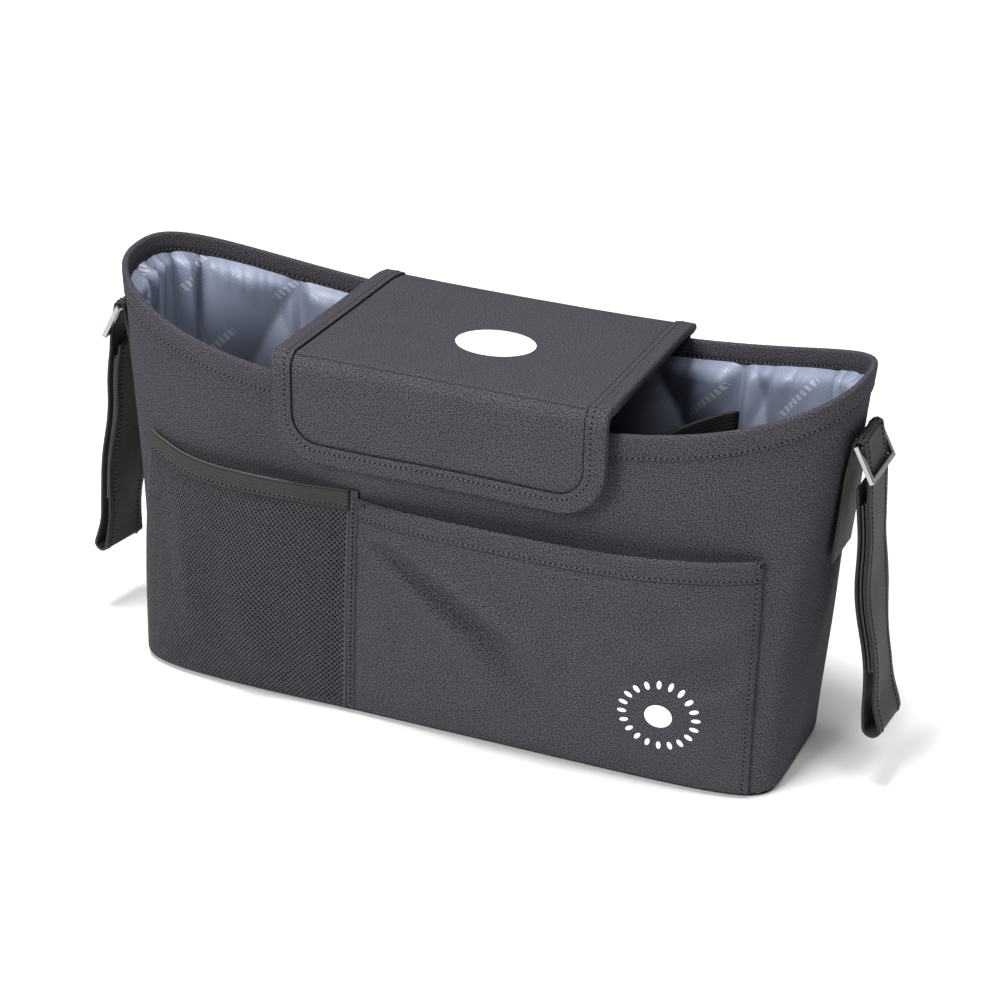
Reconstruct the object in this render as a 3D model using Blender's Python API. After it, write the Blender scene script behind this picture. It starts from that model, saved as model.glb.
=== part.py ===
"""Stroller organizer: a canvas bag with a gathered lining, a hinged middle lid,
two front pockets, inner dividers and two adjustable hanging straps.

Metres, +Z up, the front faces -Y, origin at the middle of the underside.
"""
from functools import lru_cache
from math import atan2, cos, exp, hypot, pi, radians, sin, sqrt

import bmesh
import bpy
import numpy as np
from mathutils import Matrix, Vector

# Bag outline
BASE_HALF_WIDTH = 0.175
BASE_HALF_DEPTH = 0.049
BASE_SQUARENESS = 7.6
MOUTH_HALF_WIDTH = 0.196
MOUTH_SHIFT = 0.0087
MOUTH_FRONT_DEPTH = 0.072
MOUTH_FRONT_SQUARENESS = 2.6
MOUTH_BACK_DEPTH = 0.071
MOUTH_BACK_SQUARENESS = 2.4

# Height of the mouth's edge
FRONT_HEIGHT = 0.1886
BACK_HEIGHT = 0.180
END_HEIGHT = 0.214
FRONT_SWEEP = 3.7
BACK_SWEEP = 2.6
FRONT_BELLY = 1.5
END_FLARE = 1.1

# Cloth, board and the gaps between layers
CLEAR = 0.0003
LAYER_CLEAR = 0.0005
CANVAS = 0.0010
LINING_CLOTH = 0.0006
NET = 0.0008
BOARD = 0.0020

# Turned canvas edge at the mouth
FACING_OUTSIDE = 0.013
FACING_INSIDE = 0.013
FACING_CROWN = 0.0006

# Gathers of the lining
GATHER_DEPTH = 0.0036
GATHER_COUNT = 15
GATHER_TOP = 0.92

# Dividers inside the bag
LEFT_DIVIDER_STATION = 0.205
RIGHT_DIVIDER_STATION = 0.245
DIVIDER_BOW = 0.026
DIVIDER_TOP = 0.153
DIVIDER_CLOTH = 0.0010
DIVIDER_CLEAR = 0.0007
ELASTIC_HEIGHT = 0.019
ELASTIC = 0.0016

# Front pockets
SEAM_BOTTOM_X = -0.0495
SEAM_TOP_X = -0.0405
SEAM_STRIP_WIDTH = 0.0045
SEAM_STRIP = 0.0014
NET_TOP = 0.1300
NET_TOP_RISE = 0.0042
NET_ELASTIC_HEIGHT = 0.0115
NET_ELASTIC = 0.0014
NET_END_SETBACK = 0.0185
NET_SLACK = 0.0083
NET_CORNER = 0.24
NET_SEAM_EDGE = 0.96
NET_CORNER_EASE = 0.0010
NET_FOOT_EASE = 0.0009
NET_RIPPLE = 0.0012
POCKET_TOP = 0.1310
POCKET_RIGHT_X = 0.1635
POCKET_HEM = 0.0120
POCKET_HEM_EXTRA = 0.0005
POCKET_SLACK = 0.0086
POCKET_RISE = 0.0020
POCKET_FOLD = 0.0016
POCKET_FOLD_WIDTH = 0.07

# Round prints
PRINT_X = 0.1186
PRINT_Z = 0.0420
PRINT_RADIUS = 0.0220
PRINT_WIDTH = 0.0030
PRINT_INK = 0.0004
BADGE_RADIUS = 0.0205
BADGE_REACH = 0.0826
BADGE_SHIFT = 0.0055

# Lid and its front flap
LID_HALF_WIDTH = 0.0860
LID_REAR_Y = 0.0815
LID_REAR_Z = 0.1905
LID_FRONT_Y = -0.0708
LID_FRONT_Z = 0.2060
LID_FOLD_RADIUS = 0.0060
FLAP_BOTTOM_Z = 0.1510
FLAP_CORNER = 0.0240
LID_REAR_SHIFT = -0.0035
LID_FRONT_SHIFT = 0.0075
LID_CLOTH = 0.0008
LID_PAD = 0.0015
LID_LINING = 0.0005
LID_PAD_INSET = 0.0025
BINDING_WIDTH = 0.0110
BINDING_CLOTH = 0.0006
CLOSURE_HALF_WIDTH = 0.0300
CLOSURE_HEIGHT = 0.0124
CLOSURE_LOOP = 0.0014
CLOSURE_HOOK = 0.0018

# Sewn strip that carries the lid, and the lid's bending line
STRIP_HALF_WIDTH = 0.0740
STRIP_CLOTH = 0.0010
STRIP_BOTTOM = 0.1560
STRIP_GAP = 0.0006
STRIP_TURN = 0.0060
HINGE_SETBACK = 0.0006

# Hanging straps
STRAP_WIDTH = 0.0300
STRAP_CLOTH = 0.0014
STRAP_Y = 0.0040
STRAP_SEWN_LOW = 0.1200
STRAP_SEWN_HIGH = 0.1680
STRAP_LIFT = 0.0150
LEFT_STRAP_BOTTOM = 0.0380
RIGHT_STRAP_BOTTOM = 0.0300
STRAP_FLARE = 0.0130
STRAP_LOOP_RADIUS = 0.0054
LEFT_STRAP_TWIST = radians(9.0)
TWIST_RUN = 0.0500
TWIST_CLEAR = 0.0040
TAPE_THICKNESS = 0.0011
TAPE_MARGIN = 0.0030

# Rectangular rings
RING_WIDTH = 0.0360
RING_HEIGHT = 0.0205
RING_WIRE = 0.0026
RING_EDGE = 0.0003
RING_TILT = radians(27.0)
RING_TOP_Z = 0.1838
RING_STANDOFF = 0.0012

# How finely the wall is divided
STATIONS = 32
HEIGHT_ROWS = (0.0, 0.05, 0.16, 0.34, 0.55, 0.76, 0.90, 1.0)
WALL_FOOT = CANVAS + CLEAR
PANEL_FOOT = WALL_FOOT + CLEAR


def clear_scene():
    for item in list(bpy.data.objects):
        bpy.data.objects.remove(item, do_unlink=True)


def finish(name, colour, roughness, metallic=0.0):
    """A plain material with the piece's own colour."""
    material = bpy.data.materials.new(name)
    material.use_nodes = True
    shader = material.node_tree.nodes["Principled BSDF"]
    shader.inputs["Base Color"].default_value = (*colour, 1.0)
    shader.inputs["Roughness"].default_value = roughness
    shader.inputs["Metallic"].default_value = metallic
    return material


def half_outline(half_width, half_depth, squareness, side, shift=0.0, steps=600):
    """One half of a superellipse, from its left end to its right end."""
    angle = np.linspace(pi, 0.0, steps)
    power = 2.0 / squareness
    across = np.cos(angle)
    x = half_width * np.sign(across) * np.abs(across) ** power
    y = shift + side * half_depth * np.abs(np.sin(angle)) ** power
    return np.stack([x, y], axis=1)


def at_fractions(points, fractions):
    """Points of a polyline at the given fractions of its length."""
    steps = np.linalg.norm(np.diff(points, axis=0), axis=1)
    length = np.concatenate([[0.0], np.cumsum(steps)])
    wanted = np.asarray(fractions) * length[-1]
    return np.stack([np.interp(wanted, length, points[:, axis]) for axis in (0, 1)], axis=1)


def station_fractions():
    """Fractions along half the bag, closer together round the ends."""
    even = np.linspace(0.0, 1.0, STATIONS + 1)
    return even - 0.6 * np.sin(2.0 * pi * even) / (2.0 * pi)


def mouth_height(x, side):
    """Height of the mouth's edge: low in the middle, swept up at the ends."""
    reach = np.clip(np.abs(x) / MOUTH_HALF_WIDTH, 0.0, 1.0)
    middle = FRONT_HEIGHT if side < 0 else BACK_HEIGHT
    sweep = FRONT_SWEEP if side < 0 else BACK_SWEEP
    return middle + (END_HEIGHT - middle) * reach ** sweep


def wall_grid():
    """The bag's outer face: a ring of stations by rows of height, and its normals."""
    fractions = station_fractions()
    ring = []
    for side in (-1, 1):
        outline = half_outline(BASE_HALF_WIDTH, BASE_HALF_DEPTH, BASE_SQUARENESS, side)
        base = at_fractions(outline, fractions)
        depth = MOUTH_FRONT_DEPTH if side < 0 else MOUTH_BACK_DEPTH
        squareness = MOUTH_FRONT_SQUARENESS if side < 0 else MOUTH_BACK_SQUARENESS
        outline = half_outline(MOUTH_HALF_WIDTH, depth, squareness, side, MOUTH_SHIFT)
        mouth = at_fractions(outline, fractions)
        columns = []
        for low, high in zip(base, mouth):
            top = mouth_height(high[0], side)
            column = []
            for t in HEIGHT_ROWS:
                flare = t ** END_FLARE
                belly = 1.0 - (1.0 - t) ** FRONT_BELLY
                x = low[0] + (high[0] - low[0]) * flare
                y = low[1] + (high[1] - low[1]) * belly
                column.append((x, y, WALL_FOOT + (top - WALL_FOOT) * t))
            columns.append(column)
        ring.append(np.array(columns))
    grid = np.concatenate([ring[0][:-1], ring[1][::-1][:-1]])
    along = np.roll(grid, -1, axis=0) - np.roll(grid, 1, axis=0)
    up = np.gradient(grid, axis=1)
    normal = np.cross(along, up)
    normal /= np.linalg.norm(normal, axis=2, keepdims=True)
    return grid, normal


WALL, WALL_NORMAL = wall_grid()
RING = 2 * STATIONS


def wall(q, t, out=0.0):
    """A point of the wall at ring position q and height fraction t, moved outwards."""
    base = int(np.floor(q))
    part = q - base
    low, high = base % RING, (base + 1) % RING
    t = min(max(t, 0.0), 1.0)
    row = min(int(np.searchsorted(HEIGHT_ROWS, t, side="right")) - 1, len(HEIGHT_ROWS) - 2)
    rise = (t - HEIGHT_ROWS[row]) / (HEIGHT_ROWS[row + 1] - HEIGHT_ROWS[row])
    place = WALL[[low, high], row:row + 2] + out * WALL_NORMAL[[low, high], row:row + 2]
    column = place[0] * (1 - part) + place[1] * part
    return Vector(column[0] * (1 - rise) + column[1] * rise)


def above(q, z, out=0.0):
    """The wall's point at ring position q and height z."""
    foot = wall(q, 0.0, out).z
    top = wall(q, 1.0, out).z
    return wall(q, (z - foot) / (top - foot), out)


@lru_cache(maxsize=None)
def contour(z):
    """x and y of the wall at height z, for every station of the ring."""
    xs = [float(np.interp(z, column[:, 2], column[:, 0])) for column in WALL]
    ys = [float(np.interp(z, column[:, 2], column[:, 1])) for column in WALL]
    return xs, ys


def front_position(x, z):
    """Ring position on the front where the wall passes a given x at height z."""
    xs, _ = contour(z)
    return float(np.interp(x, xs[:STATIONS + 1], range(STATIONS + 1)))


def back_position(x, z):
    """Ring position on the back where the wall passes a given x at height z."""
    xs, _ = contour(z)
    ring = [*xs[STATIONS:], xs[0]][::-1]
    return RING - float(np.interp(x, ring, range(STATIONS + 1)))


def left_end_position(y, z):
    """Ring position near the left end, on the front half, where the wall passes a given y."""
    _, ys = contour(z)
    near = ys[:STATIONS // 4][::-1]
    return STATIONS // 4 - 1 - float(np.interp(y, near, range(len(near))))


def add_object(name, work, material, smooth=40.0):
    """Makes the named object from a bmesh, with its faces pointing out."""
    bmesh.ops.recalc_face_normals(work, faces=work.faces)
    if work.calc_volume(signed=True) < 0.0:
        bmesh.ops.reverse_faces(work, faces=work.faces)
    mesh = bpy.data.meshes.new(name)
    work.to_mesh(mesh)
    work.free()
    mesh.materials.append(material)
    if smooth:
        mesh.shade_smooth()
        mesh.set_sharp_from_angle(angle=radians(smooth))
    item = bpy.data.objects.new(name, mesh)
    bpy.context.collection.objects.link(item)
    return item


def slab(name, columns, rows, place, material, closed=False, smooth=40.0):
    """A flat slab of columns by rows, laid on a surface by place(u, v, w).

    u and v are taken from the two lists, w is 0 on the inner face and 1 on the outer.
    """
    work = bmesh.new()
    across, upward = len(columns) - 1, len(rows) - 1
    bmesh.ops.create_grid(work, x_segments=across, y_segments=upward, size=0.5)
    for vert in work.verts:
        vert.co = Vector((round((vert.co.x + 0.5) * across), round((vert.co.y + 0.5) * upward), 0.0))
    grown = bmesh.ops.extrude_face_region(work, geom=list(work.faces), use_keep_orig=True)
    for vert in (item for item in grown["geom"] if isinstance(item, bmesh.types.BMVert)):
        vert.co.z = 1.0
    if closed:
        ends = [face for face in work.faces
                if all(vert.co.x < 0.5 for vert in face.verts)
                or all(vert.co.x > across - 0.5 for vert in face.verts)]
        bmesh.ops.delete(work, geom=ends, context="FACES")
    for vert in work.verts:
        i, j, w = round(vert.co.x), round(vert.co.y), vert.co.z
        vert.co = place(columns[i], rows[j], w)
    if closed:
        bmesh.ops.remove_doubles(work, verts=work.verts, dist=1e-6)
    return add_object(name, work, material, smooth)


def plate(name, inset, low, high, material):
    """A flat plate of the base's outline, moved in from the wall's foot."""
    work = bmesh.new()
    outline = [wall(q, 0.0, -inset) for q in range(RING)]
    loop = [work.verts.new((point.x, point.y, low)) for point in outline]
    face = work.faces.new(loop)
    grown = bmesh.ops.extrude_face_region(work, geom=[face], use_keep_orig=True)
    for vert in (item for item in grown["geom"] if isinstance(item, bmesh.types.BMVert)):
        vert.co.z = high
    return add_object(name, work, material)


# The bag

def build_panels(canvas):
    """The outer canvas: a front and a back piece that meet at the end seams."""
    seam = 0.02
    for name, start in (("front_panel", 0), ("back_panel", STATIONS)):
        columns = [start + seam, *range(start + 1, start + STATIONS), start + STATIONS - seam]
        slab(name, columns, HEIGHT_ROWS, lambda q, t, w: wall(q, t, -CANVAS * (1 - w)), canvas)


def build_base(canvas, board):
    plate("base_panel", 0.0, 0.0, CANVAS, canvas)
    foot = WALL_FOOT
    plate("base_board", CANVAS + 2 * LAYER_CLEAR, foot, foot + BOARD, board)


def build_facing(canvas):
    """A canvas strip folded over the mouth's edge, sewn through outside and inside."""
    inner_ply = CANVAS + LINING_CLOTH + 2 * LAYER_CLEAR

    def section(q, step, w):
        top = wall(q, 1.0).z
        thick = CANVAS * w
        out = LAYER_CLEAR + thick
        back = -(inner_ply + LAYER_CLEAR) - thick
        if step == 0:
            return above(q, top - FACING_OUTSIDE, out)
        if step == 1:
            return wall(q, 1.0, out)
        if step == 2:
            point = wall(q, 1.0, -inner_ply / 2)
            point.z = top + FACING_CROWN + thick
            return point
        if step == 3:
            return wall(q, 1.0, back)
        return above(q, top - FACING_INSIDE, back)

    columns = list(range(RING + 1))
    slab("rim_facing", columns, range(5), section, canvas, closed=True, smooth=60.0)


def gather(q, t):
    """How far the lining's folds stand into the bag at a place on the wall."""
    phase = 2.0 * pi * q / RING
    wave = 0.5 + 0.5 * sin(GATHER_COUNT * phase + 1.6 * sin(3 * phase) + 0.9 * sin(7 * phase + 1.0))
    uneven = 0.65 + 0.35 * sin(5 * phase + 0.4)
    fade = min(max((GATHER_TOP - t) / (1.0 - GATHER_TOP), 0.0), 1.0)
    fade *= min(max((t - 0.05) / 0.6, 0.0), 1.0)
    seam = 1.0
    for station in divider_positions():
        away = abs((q - station + STATIONS) % RING - STATIONS)
        seam = min(seam, min(away / 1.6, 1.0) ** 2)
    return GATHER_DEPTH * wave * uneven * fade * seam


def divider_positions():
    """Ring positions of the four seams where the dividers meet the lining."""
    fractions = station_fractions()
    left = float(np.interp(LEFT_DIVIDER_STATION, fractions, range(STATIONS + 1)))
    right = float(np.interp(RIGHT_DIVIDER_STATION, fractions, range(STATIONS + 1)))
    return left, STATIONS - right, STATIONS + right, RING - left


LINING_OUT = -(CANVAS + LAYER_CLEAR)
LINING_FACE = LINING_OUT - LINING_CLOTH
FLOOR_LOW = WALL_FOOT + BOARD + CLEAR


def lining_foot(q):
    """Height fraction where the lining's wall turns into its floor."""
    top = wall(q, 1.0).z
    return (FLOOR_LOW - WALL_FOOT) / (top - WALL_FOOT)


def build_lining(cloth):
    """The lining: a gathered wall and a flat floor, one open bag."""
    work = bmesh.new()
    per_station = 2
    count = RING * per_station
    rows = (0.0, 0.14, 0.40, 0.66, 0.87, 0.94)

    def ring(t, w, low):
        loop = []
        for k in range(count):
            q = k / per_station
            foot = lining_foot(q)
            share = foot + (1.0 - foot) * t
            out = LINING_OUT - LINING_CLOTH * (1 - w) - gather(q, share)
            point = wall(q, share, out)
            if t == 0.0:
                point.z = low
            loop.append(work.verts.new(point))
        return loop

    def join(first, second):
        for k in range(count):
            after = (k + 1) % count
            work.faces.new((first[k], first[after], second[after], second[k]))

    outside = [ring(t, 1, FLOOR_LOW) for t in rows]
    inside = [ring(t, 0, FLOOR_LOW + LINING_CLOTH) for t in rows]
    for skin in (outside, inside):
        for low, high in zip(skin, skin[1:]):
            join(low, high)
        work.faces.new(skin[0])
    join(outside[-1], inside[-1])
    return add_object("lining", work, cloth, smooth=70.0)


def divider_point(sign, v, z, side_step):
    """A point of a divider: v runs from the front lining to the back lining."""
    left_front, right_front, right_back, left_back = divider_positions()
    out = LINING_FACE - DIVIDER_CLEAR
    front = above(left_front if sign < 0 else right_front, z, out)
    back = above(left_back if sign < 0 else right_back, z, out)
    point = front.lerp(back, v)
    bow = DIVIDER_BOW * sin(pi * v) ** 0.8
    point.x = sign * (abs(point.x) - bow) + side_step
    point.z = z
    return point


def build_dividers(cloth, elastic):
    """Two cloth walls inside the bag, each with an elastic band along its top."""
    steps = [k / 10 for k in range(11)]
    floor = FLOOR_LOW + LINING_CLOTH + CLEAR
    band_low = DIVIDER_TOP - ELASTIC_HEIGHT
    for side, sign in (("left", -1.0), ("right", 1.0)):
        heights = [floor + (band_low - CLEAR - floor) * k / 3 for k in range(4)]
        slab(f"{side}_divider", steps, heights,
             lambda v, z, w: divider_point(sign, v, z, DIVIDER_CLOTH * (w - 0.5)), cloth)
        slab(f"{side}_divider_elastic", steps, (band_low, DIVIDER_TOP),
             lambda v, z, w: divider_point(sign, v, z, ELASTIC * (w - 0.5)), elastic)


# The front pockets

def seam_x(z):
    """The leaning seam between the two front pockets."""
    return SEAM_BOTTOM_X + (SEAM_TOP_X - SEAM_BOTTOM_X) * z / POCKET_TOP


def net_top(u):
    """Top of the net pocket's band, which climbs towards the middle seam."""
    return NET_TOP + NET_TOP_RISE * sin(0.5 * pi * u ** 1.5)


def net_place(u, z, out):
    """A point in front of the wall, across the net pocket from its end to the seam."""
    half_strip = SEAM_STRIP_WIDTH / 2 + CLEAR
    first = left_end_position(-NET_END_SETBACK, z)
    last = front_position(seam_x(z) - half_strip, z)
    return above(first + (last - first) * u, z, out)


def net_slack(u, share):
    """How far the slack net stands off the wall, from the bag's corner to the seam."""
    along = min(max((u - NET_CORNER) / (NET_SEAM_EDGE - NET_CORNER), 0.0), 1.0)
    across = sin(pi * along ** 1.3) ** 0.8
    upward = sin(pi * 0.80 * share) ** 0.6
    ripple = NET_RIPPLE * sin(7.0 * pi * u) * sin(pi * share)
    ease = NET_FOOT_EASE * (1.0 - share) ** 2 + NET_CORNER_EASE * (1.0 - along)
    return (NET_SLACK * upward + ripple) * across + ease


def build_net_pocket(net, elastic):
    """The net pocket, gathered a little by the elastic band round its mouth."""
    across = [k / 12 for k in range(13)]
    upward = [k / 5 for k in range(6)]

    def cloth(u, share, w):
        top = net_top(u) - NET_ELASTIC_HEIGHT - CLEAR
        z = PANEL_FOOT + (top - PANEL_FOOT) * share
        return net_place(u, z, LAYER_CLEAR + net_slack(u, share) + NET * w)

    def band(u, share, w):
        z = net_top(u) - NET_ELASTIC_HEIGHT * (1 - share)
        return net_place(u, z, LAYER_CLEAR + net_slack(u, 1.0) + NET_ELASTIC * w)

    slab("mesh_pocket", across, upward, cloth, net, smooth=60.0)
    slab("mesh_pocket_elastic", across, (0, 1), band, elastic)


def build_seam_strip(canvas):
    """The narrow canvas strip that closes both pockets along their shared seam."""
    top = NET_TOP + NET_TOP_RISE + LAYER_CLEAR
    heights = [PANEL_FOOT + (top - PANEL_FOOT) * k / 5 for k in range(6)]

    def place(u, z, w):
        q = front_position(seam_x(z) + SEAM_STRIP_WIDTH * (u - 0.5), z)
        return above(q, z, LAYER_CLEAR + SEAM_STRIP * w)

    slab("pocket_seam_strip", (0.0, 1.0), heights, place, canvas)


def pocket_slack(u, share):
    """The slip pocket's slack at its mouth, and the soft fold that runs from its corner."""
    slack = POCKET_SLACK * sin(pi * u) ** 0.6 * share
    line = u - 0.06 - 0.55 * (1 - share)
    ridge = exp(-(line / POCKET_FOLD_WIDTH) ** 2)
    fold = POCKET_FOLD * sin(pi * min(u * 1.6, 1.0)) * sin(pi * share) * ridge
    return slack + fold


def pocket_ends(z):
    """Ring positions of the slip pocket's left and right edges at height z."""
    left_x = seam_x(z) + SEAM_STRIP_WIDTH / 2 + CLEAR
    return front_position(left_x, z), front_position(POCKET_RIGHT_X, z)


def pocket_height(u):
    """Height of the slip pocket's mouth above its foot."""
    return POCKET_TOP + POCKET_RISE * sin(pi * u) - PANEL_FOOT


def pocket_place(u, share, out):
    """A point in front of the slip pocket's inner face."""
    z = PANEL_FOOT + pocket_height(u) * share
    first, last = pocket_ends(z)
    return above(first + (last - first) * u, z, LAYER_CLEAR + pocket_slack(u, share) + out)


def build_front_pocket(canvas):
    """The canvas slip pocket, with its mouth turned over as a hem."""
    across = [k / 18 for k in range(19)]
    hem = 1.0 - POCKET_HEM / POCKET_TOP
    shares = [*(hem * k / 6 for k in range(7)), hem + 0.005, 1.0]

    def place(u, share, w):
        thick = CANVAS + (POCKET_HEM_EXTRA if share > hem else 0.0)
        return pocket_place(u, share, thick * w)

    slab("front_pocket", across, shares, place, canvas)


def pocket_face(x, z, out):
    """A point in front of the slip pocket's outer face, found by its x and z."""
    first, last = pocket_ends(z)
    u = (front_position(x, z) - first) / (last - first)
    return pocket_place(u, (z - PANEL_FOOT) / pocket_height(u), CANVAS + out)


def build_pocket_print(ink):
    """A plain printed ring on the slip pocket."""
    turns = [2.0 * pi * k / 30 for k in range(31)]
    inner = PRINT_RADIUS - PRINT_WIDTH

    def place(turn, radius, w):
        x = PRINT_X + radius * cos(turn)
        z = PRINT_Z + radius * sin(turn)
        return pocket_face(x, z, CLEAR + PRINT_INK * w)

    slab("pocket_print", turns, (inner, PRINT_RADIUS), place, ink, closed=True)


# The lid

def lid_path():
    """Side view of the lid's top face: from its bending line, over the fold, down the flap."""
    rise = LID_FRONT_Z - LID_REAR_Z
    run = LID_REAR_Y - LID_FRONT_Y
    slope = atan2(rise, run)
    centre_y = LID_FRONT_Y + LID_FOLD_RADIUS
    centre_z = LID_REAR_Z + (LID_REAR_Y - centre_y) * rise / run - LID_FOLD_RADIUS / cos(slope)
    points = [(LID_REAR_Y, LID_REAR_Z)]
    start = pi / 2 - slope
    arc_steps = 5
    for k in range(arc_steps + 1):
        turn = start + (pi - start) * k / arc_steps
        points.append((centre_y + LID_FOLD_RADIUS * cos(turn), centre_z + LID_FOLD_RADIUS * sin(turn)))
    points.append((LID_FRONT_Y, FLAP_BOTTOM_Z))
    return points


LID_POINTS = lid_path()
LID_STEPS = [hypot(b[0] - a[0], b[1] - a[1]) for a, b in zip(LID_POINTS, LID_POINTS[1:])]
LID_MARKS = [sum(LID_STEPS[:k]) for k in range(len(LID_POINTS))]
LID_LENGTH = LID_MARKS[-1]
TOP_LENGTH = LID_MARKS[1]


def lid_frame(c):
    """Point and outward direction of the lid's side view at arc length c."""
    segment = 0
    while segment < len(LID_STEPS) - 1 and c > LID_MARKS[segment + 1] + 1e-9:
        segment += 1
    share = (c - LID_MARKS[segment]) / LID_STEPS[segment]
    first, second = LID_POINTS[segment], LID_POINTS[segment + 1]
    y = first[0] + (second[0] - first[0]) * share
    z = first[1] + (second[1] - first[1]) * share

    def outward(index):
        index = min(max(index, 0), len(LID_STEPS) - 1)
        a, b = LID_POINTS[index], LID_POINTS[index + 1]
        return Vector((0.0, (b[1] - a[1]), -(b[0] - a[0]))).normalized()

    own = outward(segment)
    if share < 0.001:
        own = (own + outward(segment - 1)).normalized()
    elif 0.999 < share < 1.001:
        own = (own + outward(segment + 1)).normalized()
    return y, z, own


def lid_centre(c):
    """The lid lies a little askew: its middle drifts to the right towards the front."""
    share = min(max(c / TOP_LENGTH, 0.0), 1.0)
    return LID_REAR_SHIFT + (LID_FRONT_SHIFT - LID_REAR_SHIFT) * share


def lid_point(x, c, depth):
    """A point of the lid at x from its middle line and arc length c, under its top face."""
    y, z, outward = lid_frame(c)
    return Vector((lid_centre(c) + x, y, z)) - outward * depth


def lid_half_width(c, inset=0.0):
    """Half width of the lid, rounded off at the flap's lower corners."""
    start = LID_LENGTH - FLAP_CORNER
    if c <= start:
        return LID_HALF_WIDTH - inset
    radius = FLAP_CORNER - inset
    drop = min(c - start, radius)
    return LID_HALF_WIDTH - FLAP_CORNER + sqrt(max(radius ** 2 - drop ** 2, 0.0))


def lid_rows(inset, full):
    """Arc lengths of the lid's cross rows."""
    parts = 4 if full else 2
    top = [TOP_LENGTH * k / parts for k in range(parts)]
    fold = LID_MARKS[1:-1] if full else [LID_MARKS[k] for k in (1, 2, 4, 6)]
    corner_start = LID_LENGTH - FLAP_CORNER
    radius = FLAP_CORNER - inset
    turns = 5 if full else 3
    corner = [corner_start + radius * sin(pi / 2 * k / turns) for k in range(turns + 1)]
    return [*top, *fold, *corner]


def lid_layer(name, columns, rows, inset, top, thick, material):
    """One sheet of the lid, laid at a depth under the lid's top face."""
    def place(u, c, w):
        return lid_point(u * lid_half_width(c, inset), c, top + thick * (1 - w))

    return on_hinge(slab(name, columns, rows, place, material, smooth=50.0))


PAD_TOP = LID_CLOTH + CLEAR
LINING_TOP = PAD_TOP + LID_PAD + CLEAR
LID_THICKNESS = LINING_TOP + LID_LINING
STRIP_OUT = LAYER_CLEAR + CANVAS + LAYER_CLEAR
HINGE_Y = LID_REAR_Y + STRIP_GAP + STRIP_CLOTH + HINGE_SETBACK
HINGE_Z = LID_REAR_Z


def on_hinge(item):
    """Hangs a lid piece on the bending line, so that its origin lies on the axis."""
    axis = bpy.data.objects["lid_hinge_axis"]
    item.data.transform(Matrix.Translation(-Vector((0.0, HINGE_Y, HINGE_Z))))
    item.parent = axis
    return item


def build_lid(canvas, board, cloth, trim):
    full = [k / 5 - 1 for k in range(11)]
    few = [k / 3 - 1 for k in range(7)]
    lid_layer("lid_cover", full, lid_rows(0.0, True), 0.0, 0.0, LID_CLOTH, canvas)
    lid_layer("lid_padding", few, lid_rows(LID_PAD_INSET, False), LID_PAD_INSET, PAD_TOP, LID_PAD, board)
    lid_layer("lid_lining", few, lid_rows(0.0, False), 0.0, LINING_TOP, LID_LINING, cloth)
    build_lid_binding(trim)


def lid_edge():
    """The lid's free edge as (x, c, inward x, inward c), from the rear left to the rear right."""
    edge = []
    straight = [0.0, TOP_LENGTH * 0.5, *LID_MARKS[1:-1], LID_LENGTH - FLAP_CORNER]
    for c in straight:
        edge.append((-LID_HALF_WIDTH, c, 1.0, 0.0))
    corner_x = LID_HALF_WIDTH - FLAP_CORNER
    corner_c = LID_LENGTH - FLAP_CORNER
    for k in range(1, 6):
        turn = pi / 2 * k / 5
        x = -corner_x - FLAP_CORNER * cos(turn)
        edge.append((x, corner_c + FLAP_CORNER * sin(turn), cos(turn), -sin(turn)))
    return edge + [(-x, c, -inward_x, inward_c) for x, c, inward_x, inward_c in reversed(edge)]


def build_lid_binding(trim):
    """Canvas tape folded round the lid's free edge."""
    edge = lid_edge()

    def place(k, step, w):
        x, c, inward_x, inward_c = edge[k]
        thick = BINDING_CLOTH * w
        reach = BINDING_WIDTH if step in (0, 3) else -(CLEAR + thick)
        depth = -(CLEAR + thick) if step < 2 else LID_THICKNESS + CLEAR + thick
        return lid_point(x + inward_x * reach, c + inward_c * reach, depth)

    on_hinge(slab("lid_binding", range(len(edge)), range(4), place, trim, smooth=50.0))


def build_badge(ink):
    """A plain round print on the lid's top."""
    work = bmesh.new()
    bmesh.ops.create_cone(work, cap_ends=True, segments=24, radius1=BADGE_RADIUS,
                          radius2=BADGE_RADIUS, depth=PRINT_INK)
    for vert in work.verts:
        depth = -CLEAR - (PRINT_INK if vert.co.z > 0 else 0.0)
        vert.co = lid_point(vert.co.x + BADGE_SHIFT, BADGE_REACH - vert.co.y, depth)
    on_hinge(add_object("lid_badge", work, ink))


def build_closure(loop, hook):
    """The lid's hook-and-loop closure: loops on the bag, hooks under the flap."""
    across = [CLOSURE_HALF_WIDTH * (k / 3 - 1) for k in range(7)]
    low = FLAP_BOTTOM_Z + BINDING_WIDTH + 2 * CLEAR
    heights = (low, low + CLOSURE_HEIGHT)

    def on_wall(x, z, w):
        q = front_position(LID_FRONT_SHIFT + x, z)
        return above(q, z, LAYER_CLEAR + CLOSURE_LOOP * w)

    def on_flap(x, z, w):
        c = LID_LENGTH - (z - FLAP_BOTTOM_Z)
        return lid_point(x, c, LID_THICKNESS + CLEAR + CLOSURE_HOOK * (1 - w))

    slab("front_loop_tape", across, heights, on_wall, loop)
    on_hinge(slab("lid_hook_tape", across, heights, on_flap, hook))


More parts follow.
